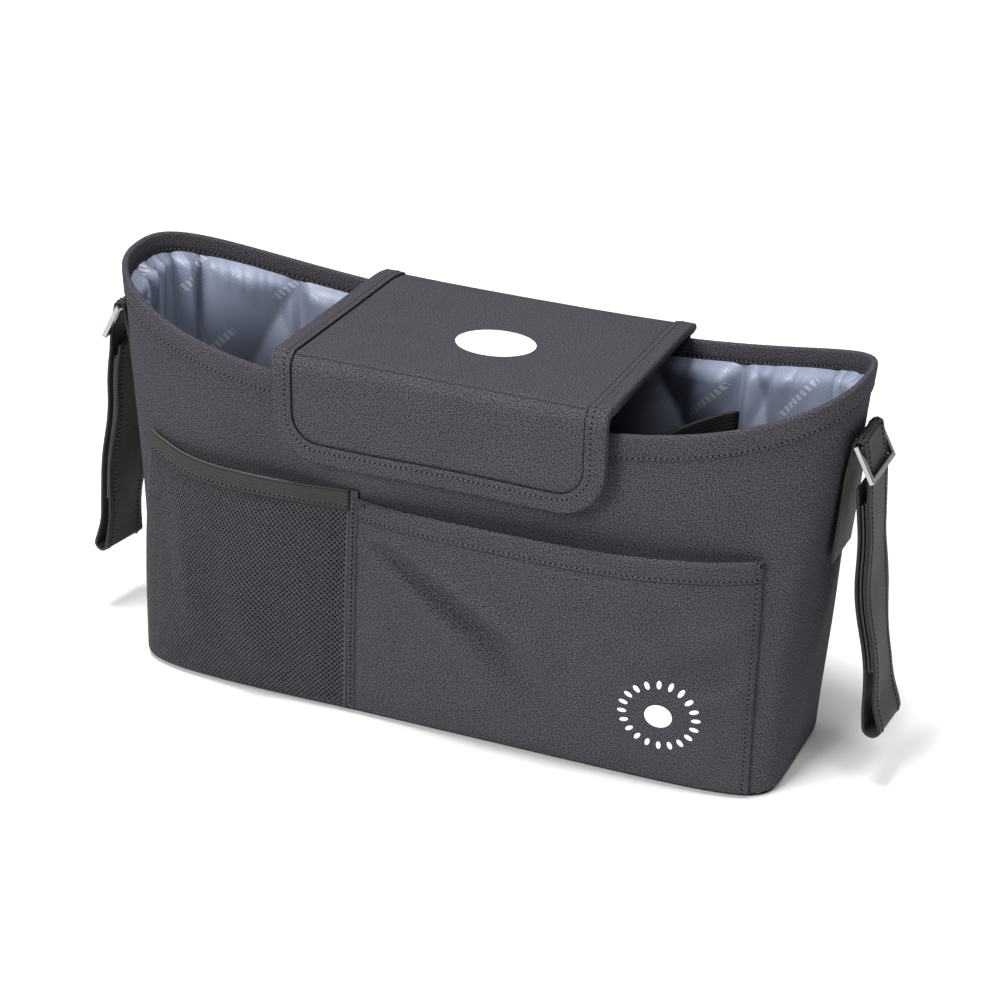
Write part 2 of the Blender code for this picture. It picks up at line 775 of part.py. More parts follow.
def build_hinge_strip(canvas):
    """The strip sewn to the back panel that rises to the lid's bending line."""
    mouth = wall(STATIONS * 1.5, 1.0).z
    heights = (STRIP_BOTTOM, mouth - STRIP_TURN, LID_REAR_Z - STRIP_TURN, LID_REAR_Z - STRIP_CLOTH)

    def place(x, row, w):
        z = heights[row]
        if row > 1:
            return Vector((x, LID_REAR_Y + STRIP_GAP + STRIP_CLOTH * w, z))
        return above(back_position(x, z), z, STRIP_OUT + STRIP_CLOTH * w)

    across = [LID_REAR_SHIFT + STRIP_HALF_WIDTH * (k / 4 - 1) for k in range(9)]
    slab("lid_hinge_strip", across, range(4), place, canvas)


# The straps

def ribbon(name, line, low, high, margin, material):
    """A flat band across a side-view line, from depth low to depth high beside it."""
    def place(k, edge, w):
        index = round(k)
        before = line[max(index - 1, 0)]
        after = line[min(index + 1, len(line) - 1)]
        here = Vector(line[index])
        forward = (Vector(after) - Vector(before)).normalized()
        beside = Vector((forward.y, -forward.x))
        if 0 < index < len(line) - 1:
            turn = forward.dot((here - Vector(before)).normalized())
            beside = beside / max(turn, 0.5)
        flat = here + beside * (low + (high - low) * w)
        return Vector((flat.x, edge, flat.y))

    half = STRAP_WIDTH / 2 - margin
    return slab(name, range(len(line)), (-half, half), place, material)


def wall_end(z):
    """How far the bag's end stands out at height z."""
    return above(float(STATIONS), z).x


def strap_lines(bottom):
    """Side view of one strap on the right: the webbing's middle line, and the tapes' lines."""
    half = STRAP_CLOTH / 2
    bar = RING_WIRE / 2 + LAYER_CLEAR + half
    top_x = wall_end(RING_TOP_Z) + LAYER_CLEAR + bar + half + RING_STANDOFF
    top_bar = Vector((top_x, RING_TOP_Z))
    spacing = RING_HEIGHT - RING_WIRE
    low_bar = top_bar + Vector((sin(RING_TILT), -cos(RING_TILT))) * spacing
    sewn = [(wall_end(z) + LAYER_CLEAR + half, z)
            for z in np.linspace(STRAP_SEWN_LOW, STRAP_SEWN_HIGH, 4)]
    over = [(top_bar.x + bar * cos(turn), top_bar.y + bar * sin(turn))
            for turn in [radians(a) for a in (180, 145, 110, 75, 40, 5)]]
    behind = (low_bar.x - bar, low_bar.y)
    hang_top = low_bar.y
    drop = hang_top - bottom - STRAP_LOOP_RADIUS

    def hang(z):
        share = (hang_top - z) / drop
        return behind[0] + STRAP_FLARE * share ** 2

    apart = 2 * TAPE_THICKNESS + 3 * LAYER_CLEAR + STRAP_CLOTH
    heights = [hang_top - drop * k / 9 for k in range(1, 9)]
    outer = [(hang(z), z) for z in heights]
    inner = [(hang(z) - apart, z) for z in heights]
    radius = STRAP_LOOP_RADIUS
    centre = (hang(bottom + radius) - apart / 2 + 0.001, bottom + radius)
    loop = [(centre[0] + radius * cos(turn), centre[1] + radius * sin(turn))
            for turn in [radians(a) for a in (10, -30, -70, -110, -150, -190)]]
    inner_top = [(behind[0] - apart + 0.0004, hang_top - 0.006)]
    line = sewn + over + [behind] + outer + loop + inner[::-1] + inner_top
    between = [(hang(z) - apart / 2, z) for z in heights[:-1]]
    return line, between, top_bar, low_bar


def turned(item, sign, twist=0.0):
    """Moves a right-hand piece to its side, its hanging part turned about an upright line."""
    pivot = Vector((wall_end(RING_TOP_Z) + STRAP_LIFT, STRAP_Y, 0.0))
    item.data.transform(Matrix.Translation((0.0, STRAP_Y, 0.0)))
    for vert in item.data.vertices:
        hangs = vert.co.x > wall_end(min(vert.co.z, END_HEIGHT)) + TWIST_CLEAR
        share = min(max((STRAP_SEWN_HIGH - vert.co.z) / TWIST_RUN, 0.0), 1.0)
        if hangs and share > 0.0:
            vert.co = pivot + Matrix.Rotation(twist * share, 4, "Z") @ (vert.co - pivot)
    if sign < 0:
        item.data.transform(Matrix.Scale(-1.0, 4, (1.0, 0.0, 0.0)))
        item.data.flip_normals()


def build_ring(name, top_bar, low_bar, material, sign):
    """A rectangular ring of square bar, its edges broken a little."""
    work = bmesh.new()
    middle = (top_bar + low_bar) / 2
    down = (low_bar - top_bar).normalized()
    proud = Vector((-down.y, down.x)) * (RING_WIRE / 2)
    loops = []
    for across, upward in ((1, 1), (-1, 1), (-1, -1), (1, -1)):
        loop = []
        for inset, face in ((0.0, 1), (RING_WIRE, 1), (RING_WIRE, -1), (0.0, -1)):
            y = across * (RING_WIDTH / 2 - inset)
            flat = middle - down * upward * (RING_HEIGHT / 2 - inset) + proud * face
            loop.append(work.verts.new((flat.x, y, flat.y)))
        loops.append(loop)
    for first, second in zip(loops, loops[1:] + loops[:1]):
        for k in range(4):
            work.faces.new((first[k], first[(k + 1) % 4], second[(k + 1) % 4], second[k]))
    bmesh.ops.bevel(work, geom=work.edges, offset=RING_EDGE, segments=1, affect="EDGES",
                    profile=0.5, material=-1)
    turned(add_object(name, work, material, smooth=0.0), sign)


def build_straps(webbing, metal, loop, hook):
    """Each side's webbing, its ring, and the tapes that hold the webbing to itself."""
    half = STRAP_CLOTH / 2
    near = LAYER_CLEAR / 2
    far = near + TAPE_THICKNESS
    for side, sign, twist, bottom in (("left", -1, -LEFT_STRAP_TWIST, LEFT_STRAP_BOTTOM),
                                      ("right", 1, 0.0, RIGHT_STRAP_BOTTOM)):
        line, between, top_bar, low_bar = strap_lines(bottom)
        turned(ribbon(f"{side}_strap", line, -half, half, 0.0, webbing), sign, twist)
        turned(ribbon(f"{side}_loop_tape", between, -far, -near, TAPE_MARGIN, loop), sign, twist)
        turned(ribbon(f"{side}_hook_tape", between, near, far, TAPE_MARGIN, hook), sign, twist)
        build_ring(f"{side}_ring", top_bar, low_bar, metal, sign)


def build():
    clear_scene()
    canvas = finish("charcoal_canvas", (0.055, 0.050, 0.053), 0.85)
    trim = finish("canvas_trim", (0.060, 0.055, 0.058), 0.85)
    cloth = finish("blue_grey_lining", (0.22, 0.26, 0.34), 0.40)
    board = finish("grey_board", (0.35, 0.35, 0.35), 0.80)
    elastic = finish("black_elastic", (0.02, 0.02, 0.02), 0.70)
    band = finish("dark_olive_elastic", (0.045, 0.047, 0.042), 0.70)
    net = finish("dark_net", (0.050, 0.048, 0.050), 0.80)
    webbing = finish("dark_webbing", (0.040, 0.040, 0.038), 0.60)
    metal = finish("polished_nickel", (0.62, 0.60, 0.57), 0.20, 1.0)
    loop = finish("loop_tape", (0.03, 0.03, 0.03), 0.95)
    hook = finish("hook_tape", (0.04, 0.04, 0.04), 0.60)
    ink = finish("white_print", (0.85, 0.85, 0.85), 0.60)
    axis = bpy.data.objects.new("lid_hinge_axis", None)
    axis.location = (0.0, HINGE_Y, HINGE_Z)
    bpy.context.collection.objects.link(axis)
    build_base(canvas, board)
    build_panels(canvas)
    build_facing(canvas)
    build_lining(cloth)
    build_dividers(cloth, elastic)
    build_net_pocket(net, band)
    build_seam_strip(trim)
    build_front_pocket(canvas)
    build_pocket_print(ink)
    build_lid(canvas, board, cloth, trim)
    build_badge(ink)
    build_closure(loop, hook)
    build_hinge_strip(canvas)
    build_straps(webbing, metal, loop, hook)


build()
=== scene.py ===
# %% [markdown]
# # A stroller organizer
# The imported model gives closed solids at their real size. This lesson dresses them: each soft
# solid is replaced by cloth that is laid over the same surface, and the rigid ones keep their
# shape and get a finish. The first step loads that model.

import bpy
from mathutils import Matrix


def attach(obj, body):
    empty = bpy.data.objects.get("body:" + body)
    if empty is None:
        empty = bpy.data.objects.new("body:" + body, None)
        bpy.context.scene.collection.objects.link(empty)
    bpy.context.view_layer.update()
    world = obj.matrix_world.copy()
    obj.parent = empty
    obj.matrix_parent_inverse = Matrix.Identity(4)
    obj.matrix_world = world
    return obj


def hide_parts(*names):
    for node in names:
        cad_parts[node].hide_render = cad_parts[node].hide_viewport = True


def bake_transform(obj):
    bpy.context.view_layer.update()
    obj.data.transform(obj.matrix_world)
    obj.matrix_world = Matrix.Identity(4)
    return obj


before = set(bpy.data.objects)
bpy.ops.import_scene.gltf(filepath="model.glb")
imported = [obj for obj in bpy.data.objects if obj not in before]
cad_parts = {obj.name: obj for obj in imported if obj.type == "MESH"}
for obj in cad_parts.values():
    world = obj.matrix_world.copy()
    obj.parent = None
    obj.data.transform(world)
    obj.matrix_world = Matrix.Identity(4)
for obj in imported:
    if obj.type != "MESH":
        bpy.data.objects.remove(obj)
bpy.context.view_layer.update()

# %% Modules
from math import cos, pi, radians, sin

import bmesh
import bpy
import numpy as np
from mathutils import Matrix, Vector

# %% [markdown]
# ## Camera, floor and light
# A product picture is taken from a little above and to the left, with a long lens. The camera
# is set by its place and its three directions. The floor is one pale sheet, and three large
# lamps with a bright world give soft light with little shadow. A fourth lamp only keeps the far
# floor white. The Standard view shows the cloth's tones as they are and lets the floor run to white.

# %% Camera
CAMERA_PLACE = (0.53010, -1.22530, 0.78535)
CAMERA_RIGHT = (0.91858, 0.39508, 0.01129)
CAMERA_UP = (-0.18770, 0.41092, 0.89214)
CAMERA_BACK = (0.34783, -0.82162, 0.45161)
LENS_MM = 106.66

lens = bpy.data.cameras.new("camera")
lens.lens = LENS_MM
lens.sensor_width = 36.0
camera = bpy.data.objects.new("camera", lens)
turn = Matrix((CAMERA_RIGHT, CAMERA_UP, CAMERA_BACK)).transposed()
camera.matrix_world = Matrix.Translation(CAMERA_PLACE) @ turn.to_4x4()
bpy.context.collection.objects.link(camera)
bpy.context.scene.camera = camera


# %% Node helpers
def new_material(name, roughness=0.8, metallic=0.0, **sockets):
    """A Principled material; further sockets are given with _ for each space."""
    material = bpy.data.materials.new(name)
    material.use_nodes = True
    shader = material.node_tree.nodes["Principled BSDF"]
    shader.inputs["Roughness"].default_value = roughness
    shader.inputs["Metallic"].default_value = metallic
    for socket, value in sockets.items():
        shader.inputs[socket.replace("_", " ")].default_value = value
    return material


def add(material, kind, inputs=None, **settings):
    """Adds a node, sets its settings, and links or sets its inputs."""
    tree = material.node_tree
    node = tree.nodes.new(kind)
    for key, value in settings.items():
        setattr(node, key, value)
    for key, value in (inputs or {}).items():
        if isinstance(value, bpy.types.NodeSocket):
            tree.links.new(value, node.inputs[key])
        else:
            node.inputs[key].default_value = value
    return node


def colour_of(material, socket):
    shader = material.node_tree.nodes["Principled BSDF"]
    material.node_tree.links.new(socket, shader.inputs["Base Color"])


def bump_of(material, height, strength, distance):
    """Raises the surface by a height pattern."""
    bump = add(material, "ShaderNodeBump", {"Height": height, "Strength": strength,
                                            "Distance": distance})
    shader = material.node_tree.nodes["Principled BSDF"]
    material.node_tree.links.new(bump.outputs["Normal"], shader.inputs["Normal"])


def blend_colours(material, factor, first, second):
    mix = add(material, "ShaderNodeMix", data_type="RGBA")
    material.node_tree.links.new(factor, mix.inputs[0])
    for index, colour in ((6, first), (7, second)):
        if isinstance(colour, bpy.types.NodeSocket):
            material.node_tree.links.new(colour, mix.inputs[index])
        else:
            mix.inputs[index].default_value = (*colour, 1.0)
    return mix.outputs[2]


def maths(material, operation, first, second=0.0):
    node = add(material, "ShaderNodeMath", operation=operation)
    for index, value in enumerate((first, second)):
        if isinstance(value, bpy.types.NodeSocket):
            material.node_tree.links.new(value, node.inputs[index])
        else:
            node.inputs[index].default_value = value
    return node.outputs[0]


def map_range(material, value, spread, to=(0.0, 1.0)):
    """Takes a value from one spread of numbers to another."""
    node = add(material, "ShaderNodeMapRange", {"Value": value, "From Min": spread[0],
                                                "From Max": spread[1], "To Min": to[0], "To Max": to[1]})
    return node.outputs["Result"]


def scaled(material, colour, factor):
    """The colour made lighter or darker by a factor."""
    node = add(material, "ShaderNodeVectorMath", {0: colour, "Scale": factor}, operation="SCALE")
    return node.outputs["Vector"]


def object_coordinates(material):
    return add(material, "ShaderNodeTexCoord").outputs["Object"]


def cloth_coordinates(material, angle=0.0):
    """The cloth's own coordinates in metres, turned by an angle."""
    source = add(material, "ShaderNodeUVMap", uv_map="cloth")
    mapping = add(material, "ShaderNodeMapping", {"Vector": source.outputs["UV"],
                                                  "Rotation": (0, 0, angle)})
    return mapping.outputs["Vector"]


def ribs(material, coordinates, period, direction="X"):
    """Even ribs across the cloth, a period apart in metres."""
    wave_unit = 2.0 * pi / 20.0
    wave = add(material, "ShaderNodeTexWave", {"Vector": coordinates, "Scale": wave_unit / period},
               bands_direction=direction)
    return wave.outputs["Fac"]


def speckle(material, coordinates, size, detail=2.0):
    noise = add(material, "ShaderNodeTexNoise", {"Vector": coordinates, "Scale": 1.0 / size,
                                                 "Detail": detail})
    return noise.outputs["Fac"]


# %% Floor and light
def make_floor():
    work = bmesh.new()
    bmesh.ops.create_grid(work, x_segments=1, y_segments=1, size=6.0)
    mesh = bpy.data.meshes.new("floor")
    work.to_mesh(mesh)
    work.free()
    floor = bpy.data.objects.new("floor", mesh)
    bpy.context.collection.objects.link(floor)
    paper = new_material("pale_floor", roughness=0.9)
    tone = speckle(paper, object_coordinates(paper), 0.4)
    colour_of(paper, blend_colours(paper, tone, (0.90, 0.90, 0.90), (0.93, 0.93, 0.93)))
    mesh.materials.append(paper)


def make_lamp(name, place, size, power, aim=(0.0, 0.0, 0.1)):
    lamp = bpy.data.lights.new(name, "AREA")
    lamp.shape = "DISK"
    lamp.size = size
    lamp.energy = power
    item = bpy.data.objects.new(name, lamp)
    item.location = place
    item.rotation_euler = (Vector(aim) - Vector(place)).to_track_quat("-Z", "Y").to_euler()
    bpy.context.collection.objects.link(item)


make_floor()
make_lamp("key_light", (-0.40, -1.95, 1.40), 0.8, 40.0)
make_lamp("fill_light", (0.9, -0.6, 2.1), 0.7, 12.0)
make_lamp("top_light", (-0.2, -0.3, 2.3), 0.6, 50.0)
make_lamp("far_floor_light", (-0.45, 1.6, 1.3), 0.8, 6.0, aim=(-0.45, 1.5, 0.0))

world = bpy.data.worlds.new("world")
world.use_nodes = True
world.node_tree.nodes["Background"].inputs["Color"].default_value = (1.0, 1.0, 1.0, 1.0)
world.node_tree.nodes["Background"].inputs["Strength"].default_value = 0.30
bpy.context.scene.world = world
bpy.context.scene.view_settings.view_transform = "Standard"

# %% [markdown]
# ## Finishes
# Cloth is never one colour. The canvas is a dark warm grey twill with lighter threads that
# show as a fine speckle, so its colour and its bump come from the same ribs and noise. The
# patterns are read in metres from each piece's own cloth map, so that a thread has one size
# everywhere on the object. Where a seam or a fold presses the cloth in, a narrow line of painted
# shade runs along it.


# %% Canvas
def painted_line_shading(material, creases):
    """1 on plain cloth, painted shade in each crease, a painted highlight where shade is over 1: (axis,
    place, half width, shade) in metres.
    """
    shade = None
    parts = add(material, "ShaderNodeSeparateXYZ", {"Vector": cloth_coordinates(material)})
    for axis, place, half, dark in creases:
        away = maths(material, "ABSOLUTE", maths(material, "SUBTRACT", parts.outputs[axis], place))
        line = map_range(material, away, (half * 0.4, half), (dark, 1.0))
        shade = line if shade is None else maths(material, "MULTIPLY", shade, line)
    return shade


CANVAS_DARK, CANVAS_LIGHT = (0.0068, 0.0063, 0.0076), (0.096, 0.0895, 0.1065)
TWILL_PERIOD, THREAD_SIZE, WEAR_SIZE = 0.00125, 0.00072, 0.020


def make_canvas(name, creases=()):
    material = new_material(name, roughness=0.9, Specular_IOR_Level=0.12)
    twill = ribs(material, cloth_coordinates(material, radians(32)), TWILL_PERIOD)
    threads = speckle(material, cloth_coordinates(material), THREAD_SIZE, 2.5)
    coarse = speckle(material, cloth_coordinates(material, 1.0), WEAR_SIZE, 3.0)
    height = maths(material, "ADD", maths(material, "MULTIPLY", twill, 0.06), threads)
    tone = map_range(material, height, (0.36, 0.75))
    wear_and_painted_shade = map_range(material, coarse, (0.0, 1.0), (0.90, 1.10))
    # Random wear in the tone, and painted shade along the creases.
    if creases:
        wear_and_painted_shade = maths(material, "MULTIPLY", wear_and_painted_shade, painted_line_shading(material, creases))
    colour_of(material, scaled(material, blend_colours(material, tone, CANVAS_DARK, CANVAS_LIGHT), wear_and_painted_shade))
    bump_of(material, height, 0.35, 0.0003)
    return material


canvas = make_canvas("canvas")
# Painted shade along the foot of each panel, where it meets the base.
panel_canvas = make_canvas("panel_canvas", creases=[("Y", 0.0013, 0.0009, 0.45)])


# %% [markdown]
# The lining is a thin satin with a fine square weave. Its gathers do most of the work, and the
# finish only needs a soft gloss. Low down in the bag it is painted darker, where little light
# would reach. Elastic and webbing are ribbed bands, and the net is knitted from a dull yarn.


# %% Lining, bands and net
ROW_PITCH, GROUP_PITCH, ROW_SHIFT = 0.034, 0.060, 0.37
BARS_PER_GROUP = 18.0
DEEP_HEIGHTS = (0.128, 0.186)


def middle_part(material, value, half):
    """1 in the middle of each whole step of a value, for a half width, and 0 beside it."""
    inside = maths(material, "COMPARE", maths(material, "FRACT", value), 0.5)
    inside.node.inputs[2].default_value = half
    return inside


def printed_marks(material):
    """Short pale slanted bars in staggered rows, as a plain print on the lining."""
    parts = add(material, "ShaderNodeSeparateXYZ", {"Vector": cloth_coordinates(material, radians(48))})
    row = maths(material, "DIVIDE", parts.outputs["Y"], ROW_PITCH)
    along = maths(material, "ADD", maths(material, "DIVIDE", parts.outputs["X"], GROUP_PITCH),
                  maths(material, "MULTIPLY", maths(material, "FLOOR", row), ROW_SHIFT))
    group = maths(material, "MULTIPLY", middle_part(material, row, 0.055),
                  middle_part(material, along, 0.24))
    bars = middle_part(material, maths(material, "MULTIPLY", along, BARS_PER_GROUP), 0.30)
    return maths(material, "MULTIPLY", group, bars)


def make_lining(name, deep=False):
    """Satin; the deep one has painted shade low down in the bag, and is duller there."""
    material = new_material(name, roughness=0.40, Specular_IOR_Level=0.7)
    one = ribs(material, cloth_coordinates(material, radians(45)), 0.0014)
    two = ribs(material, cloth_coordinates(material, radians(45)), 0.0014, "Y")
    grid = maths(material, "MULTIPLY", one, two)
    weave = blend_colours(material, grid, (0.200, 0.228, 0.315), (0.262, 0.294, 0.395))
    marks = maths(material, "MULTIPLY", printed_marks(material), 0.42)
    colour = blend_colours(material, marks, weave, (0.66, 0.69, 0.76))
    if deep:
        place = object_coordinates(material)
        height = add(material, "ShaderNodeSeparateXYZ", {"Vector": place}).outputs["Z"]
        # Painted shade: the colour darkens towards the bottom of the bag.
        colour = scaled(material, colour, map_range(material, height, DEEP_HEIGHTS, (0.34, 1.0)))
        dull = map_range(material, height, DEEP_HEIGHTS, (0.62, 0.40))
        shader = material.node_tree.nodes["Principled BSDF"]
        material.node_tree.links.new(dull, shader.inputs["Roughness"])
    colour_of(material, colour)
    bump_of(material, grid, 0.15, 0.0002)
    return material


def make_band(name, dark, light, period, roughness=0.7, creases=()):
    """A ribbed band; the ribs run along it, a period apart."""
    material = new_material(name, roughness=roughness, Specular_IOR_Level=0.25)
    line = ribs(material, cloth_coordinates(material), period, "Y")
    fine = speckle(material, cloth_coordinates(material), 0.0006, 1.0)
    height = maths(material, "ADD", line, maths(material, "MULTIPLY", fine, 0.7))
    colour = blend_colours(material, maths(material, "MULTIPLY", height, 0.6), dark, light)
    # Painted shade and highlight lines along the band.
    if creases:
        colour = scaled(material, colour, painted_line_shading(material, creases))
    colour_of(material, colour)
    bump_of(material, height, 0.5, 0.0003)
    return material


satin = make_lining("satin_lining")
deep_satin = make_lining("deep_satin_lining", deep=True)
# Painted shade along the band's lower edge and just under its top, and a painted highlight along its top
# edge.
pocket_elastic = make_band("pocket_elastic", (0.005, 0.005, 0.0048), (0.042, 0.0412, 0.0400), 0.0014,
                           creases=[("Y", 0.0002, 0.0006, 0.3), ("Y", 0.0108, 0.0006, 0.3),
                                    ("Y", 0.0115, 0.0005, 3.0)])
divider_elastic = make_band("divider_elastic", (0.003, 0.003, 0.003), (0.026, 0.026, 0.026), 0.0020)
# Painted shade along the webbing's two edges.
webbing = make_band("webbing", (0.006, 0.0056, 0.0053), (0.056, 0.0522, 0.0500), 0.0016, 0.6,
                    creases=[("X", 0.0, 0.0010, 0.55), ("X", 0.030, 0.0010, 0.55)])


def make_net_yarn():
    material = new_material("net_yarn", roughness=0.6, Specular_IOR_Level=0.15)
    place = object_coordinates(material)
    tone = speckle(material, place, 0.0012, 1.0)
    colour_of(material, blend_colours(material, tone, (0.012, 0.0112, 0.0132), (0.078, 0.0735, 0.0850)))
    bump_of(material, speckle(material, place, 0.0006, 1.0), 0.4, 0.0002)
    return material


net_yarn = make_net_yarn()


# %% [markdown]
# Small finishes: sewing thread, painted shade for the needle holes, the white prints, the nickel
# of the rings, the two sides of the hook-and-loop tape, and the grey boards that stay hidden
# between the layers. They read the object's own coordinates, because they have no cloth map.


# %% Small finishes
def make_plain(name, dark, light, size, roughness, bump, metallic=0.0, **sockets):
    material = new_material(name, roughness=roughness, metallic=metallic, **sockets)
    place = object_coordinates(material)
    tone = speckle(material, place, size)
    colour_of(material, blend_colours(material, tone, dark, light))
    if bump:
        bump_of(material, tone, bump, 0.0002)
    return material


thread = make_plain("thread", (0.062, 0.058, 0.069), (0.120, 0.113, 0.133), 0.0006, 0.8, 0.3,
                    Specular_IOR_Level=0.15)
# Painted shade: near-black balls stand for the shade in each needle hole.
painted_hole_shade = make_plain("painted_hole_shade", (0.004, 0.004, 0.005), (0.012, 0.011, 0.013), 0.0006, 0.9, 0.3,
                         Specular_IOR_Level=0.0)
print_ink = make_plain("print_ink", (0.86, 0.86, 0.87), (0.94, 0.94, 0.95), 0.0012, 0.55, 0.25)
nickel = make_plain("nickel", (0.30, 0.285, 0.285), (0.42, 0.40, 0.40), 0.004, 0.16, 0.03, 1.0)
fuzzy_loops = make_plain("fuzzy_loops", (0.006, 0.006, 0.006), (0.050, 0.050, 0.050), 0.0009, 0.95, 1.0,
                         Sheen_Weight=0.4)
hook_plastic = make_plain("hook_plastic", (0.010, 0.010, 0.011), (0.040, 0.040, 0.042), 0.0009, 0.5, 0.8)
grey_board = make_plain("grey_board", (0.30, 0.30, 0.30), (0.38, 0.38, 0.38), 0.002, 0.8, 0.2)

# %% [markdown]
# ## The bag's wall
# The wall is lofted between two outlines: a base that is nearly a rectangle, and a softer
# mouth. One ring of stations runs along the front from the left end to the right end, and back
# along the rear. A place on the wall is a position on that ring (0 to 64), a share of the
# height, and a distance outwards. Every cloth on the bag is laid by this one function, so the
# layers can't cross. A few millimetres of slow waves keep the canvas from looking like sheet metal.

# %% Sizes of the bag
BASE_HALF_WIDTH, BASE_HALF_DEPTH, BASE_SQUARENESS = 0.175, 0.049, 7.6
MOUTH_HALF_WIDTH, MOUTH_SHIFT = 0.196, 0.0087
MOUTH_DEPTH = {-1: 0.072, 1: 0.071}
MOUTH_SQUARENESS = {-1: 2.6, 1: 2.4}
MIDDLE_HEIGHT = {-1: 0.1886, 1: 0.180}
SWEEP = {-1: 3.7, 1: 2.6}
END_HEIGHT = 0.214
BELLY, FLARE = 1.5, 1.1
FOOT = 0.0013
FOOT_RADIUS = 0.0035
STATIONS = 32
TURN = 2 * STATIONS
FINE = 256
RING = 2 * FINE
SHARES = np.unique(np.concatenate([np.linspace(0.0, 0.03, 8), np.linspace(0.03, 1.0, 60)]))


# %% Wall grid
def arch(share, power=1.0):
    """Rises from 0 to 1 and falls back to 0, steeper at its ends for a small power."""
    return np.abs(np.sin(pi * np.clip(share, 0.0, 1.0))) ** power


def half_outline(half_width, half_depth, squareness, side, shift=0.0):
    angle = np.linspace(pi, 0.0, 1600)
    power = 2.0 / squareness
    x = half_width * np.sign(np.cos(angle)) * np.abs(np.cos(angle)) ** power
    y = shift + side * half_depth * np.abs(np.sin(angle)) ** power
    return np.stack([x, y], axis=1)


def path_length(points):
    """The distance along a line of points, at each of them."""
    return np.concatenate([[0.0], np.cumsum(np.linalg.norm(np.diff(points, axis=0), axis=1))])


def crowded(even):
    """Even shares of a half outline, drawn closer together towards the bag's two ends."""
    return even - 0.6 * np.sin(2.0 * pi * even) / (2.0 * pi)


def at_fractions(points, fractions):
    length = path_length(points)
    wanted = fractions * length[-1]
    return np.stack([np.interp(wanted, length, points[:, axis]) for axis in (0, 1)], axis=1)


# Each dent or swelling: x, z, half width, half height, and how far outwards.
DENTS = [(-0.105, 0.150, 0.020, 0.012, -0.0020), (-0.085, 0.128, 0.030, 0.010, -0.0018),
         (-0.140, 0.165, 0.022, 0.020, 0.0014), (0.060, 0.150, 0.035, 0.012, -0.0012),
         (0.120, 0.160, 0.040, 0.018, 0.0012), (0.165, 0.090, 0.014, 0.040, -0.0010)]


def slow_waves(grid, normal):
    """Soft swellings and a few dents of the canvas, none at the base or at the mouth."""
    phase = np.linspace(0.0, 2.0 * pi, RING, endpoint=False)[:, None]
    share = SHARES[None, :]
    swell = 0.0009 * np.sin(5 * phase + 2.1 + 3.0 * share)
    swell = swell + 0.0006 * np.sin(11 * phase + 1.0 - 5.0 * share)
    front = grid[:, :, 1] < 0.0
    for x, z, wide, tall, depth in DENTS:
        near = ((grid[:, :, 0] - x) / wide) ** 2 + ((grid[:, :, 2] - z) / tall) ** 2
        swell = swell + np.where(front, depth * np.exp(-near), 0.0)
    return grid + normal * (arch(share, 1.5) * swell)[:, :, None]


def wall_grid():
    fractions = crowded(np.linspace(0.0, 1.0, FINE + 1))
    halves = []
    for side in (-1, 1):
        low = half_outline(BASE_HALF_WIDTH, BASE_HALF_DEPTH, BASE_SQUARENESS, side)
        high = half_outline(MOUTH_HALF_WIDTH, MOUTH_DEPTH[side], MOUTH_SQUARENESS[side], side,
                            MOUTH_SHIFT)
        base, mouth = at_fractions(low, fractions), at_fractions(high, fractions)
        reach = np.clip(np.abs(mouth[:, 0]) / MOUTH_HALF_WIDTH, 0.0, 1.0)
        top = MIDDLE_HEIGHT[side] + (END_HEIGHT - MIDDLE_HEIGHT[side]) * reach ** SWEEP[side]
        flare, belly = SHARES ** FLARE, 1.0 - (1.0 - SHARES) ** BELLY
        x = base[:, :1] + (mouth - base)[:, :1] * flare
        y = base[:, 1:] + (mouth - base)[:, 1:] * belly
        z = FOOT + (top - FOOT)[:, None] * SHARES
        halves.append(np.stack([x, y, z], axis=2))
    grid = np.concatenate([halves[0][:-1], halves[1][::-1][:-1]])
    along = np.roll(grid, -1, axis=0) - np.roll(grid, 1, axis=0)
    normal = np.cross(along, np.gradient(grid, SHARES, axis=1))
    normal /= np.linalg.norm(normal, axis=2, keepdims=True)
    grid = slow_waves(grid, normal)
    low = np.clip(FOOT_RADIUS - (grid[:, :, 2] - FOOT), 0.0, FOOT_RADIUS)
    tuck = FOOT_RADIUS - np.sqrt(FOOT_RADIUS ** 2 - low ** 2)
    return grid - normal * (0.7 * tuck)[:, :, None], normal


WALL, NORMAL = wall_grid()


# %% Places on the wall
def wall(q, share, out=0.0):
    """Points at ring positions q (0 to 64) and shares of the height, moved outwards."""
    q, share, out = np.broadcast_arrays(np.asarray(q, float), share, out)
    place = q * (FINE / STATIONS)
    low = np.floor(place).astype(int)
    part = (place - low)[..., None]
    share = np.clip(share, 0.0, 1.0)
    row = np.clip(np.searchsorted(SHARES, share, side="right") - 1, 0, len(SHARES) - 2)
    rise = ((share - SHARES[row]) / (SHARES[row + 1] - SHARES[row]))[..., None]

    def corner(station, line):
        return WALL[station % RING, line] + out[..., None] * NORMAL[station % RING, line]

    below = corner(low, row) * (1 - part) + corner(low + 1, row) * part
    over = corner(low, row + 1) * (1 - part) + corner(low + 1, row + 1) * part
    return below * (1 - rise) + over * rise


def above(q, z, out=0.0):
    """The wall's points at ring positions q and heights z."""
    foot = wall(q, 0.0, out)[..., 2]
    top = wall(q, 1.0, out)[..., 2]
    return wall(q, (z - foot) / (top - foot), out)


# %% Ring positions looked up from x or y and a height
LEVELS = np.linspace(FOOT, END_HEIGHT, 108)
ACROSS = np.linspace(-0.2, 0.2, 801)


def position_table(columns, axis, sign, first):
    """Ring positions over a grid of places across (second index) and levels (first index)."""
    places = np.array([np.interp(LEVELS, column[:, 2], sign * column[:, axis]) for column in columns]).T
    positions = first + np.arange(len(columns)) * STATIONS / FINE
    return np.array([np.interp(ACROSS, row, positions) for row in places])


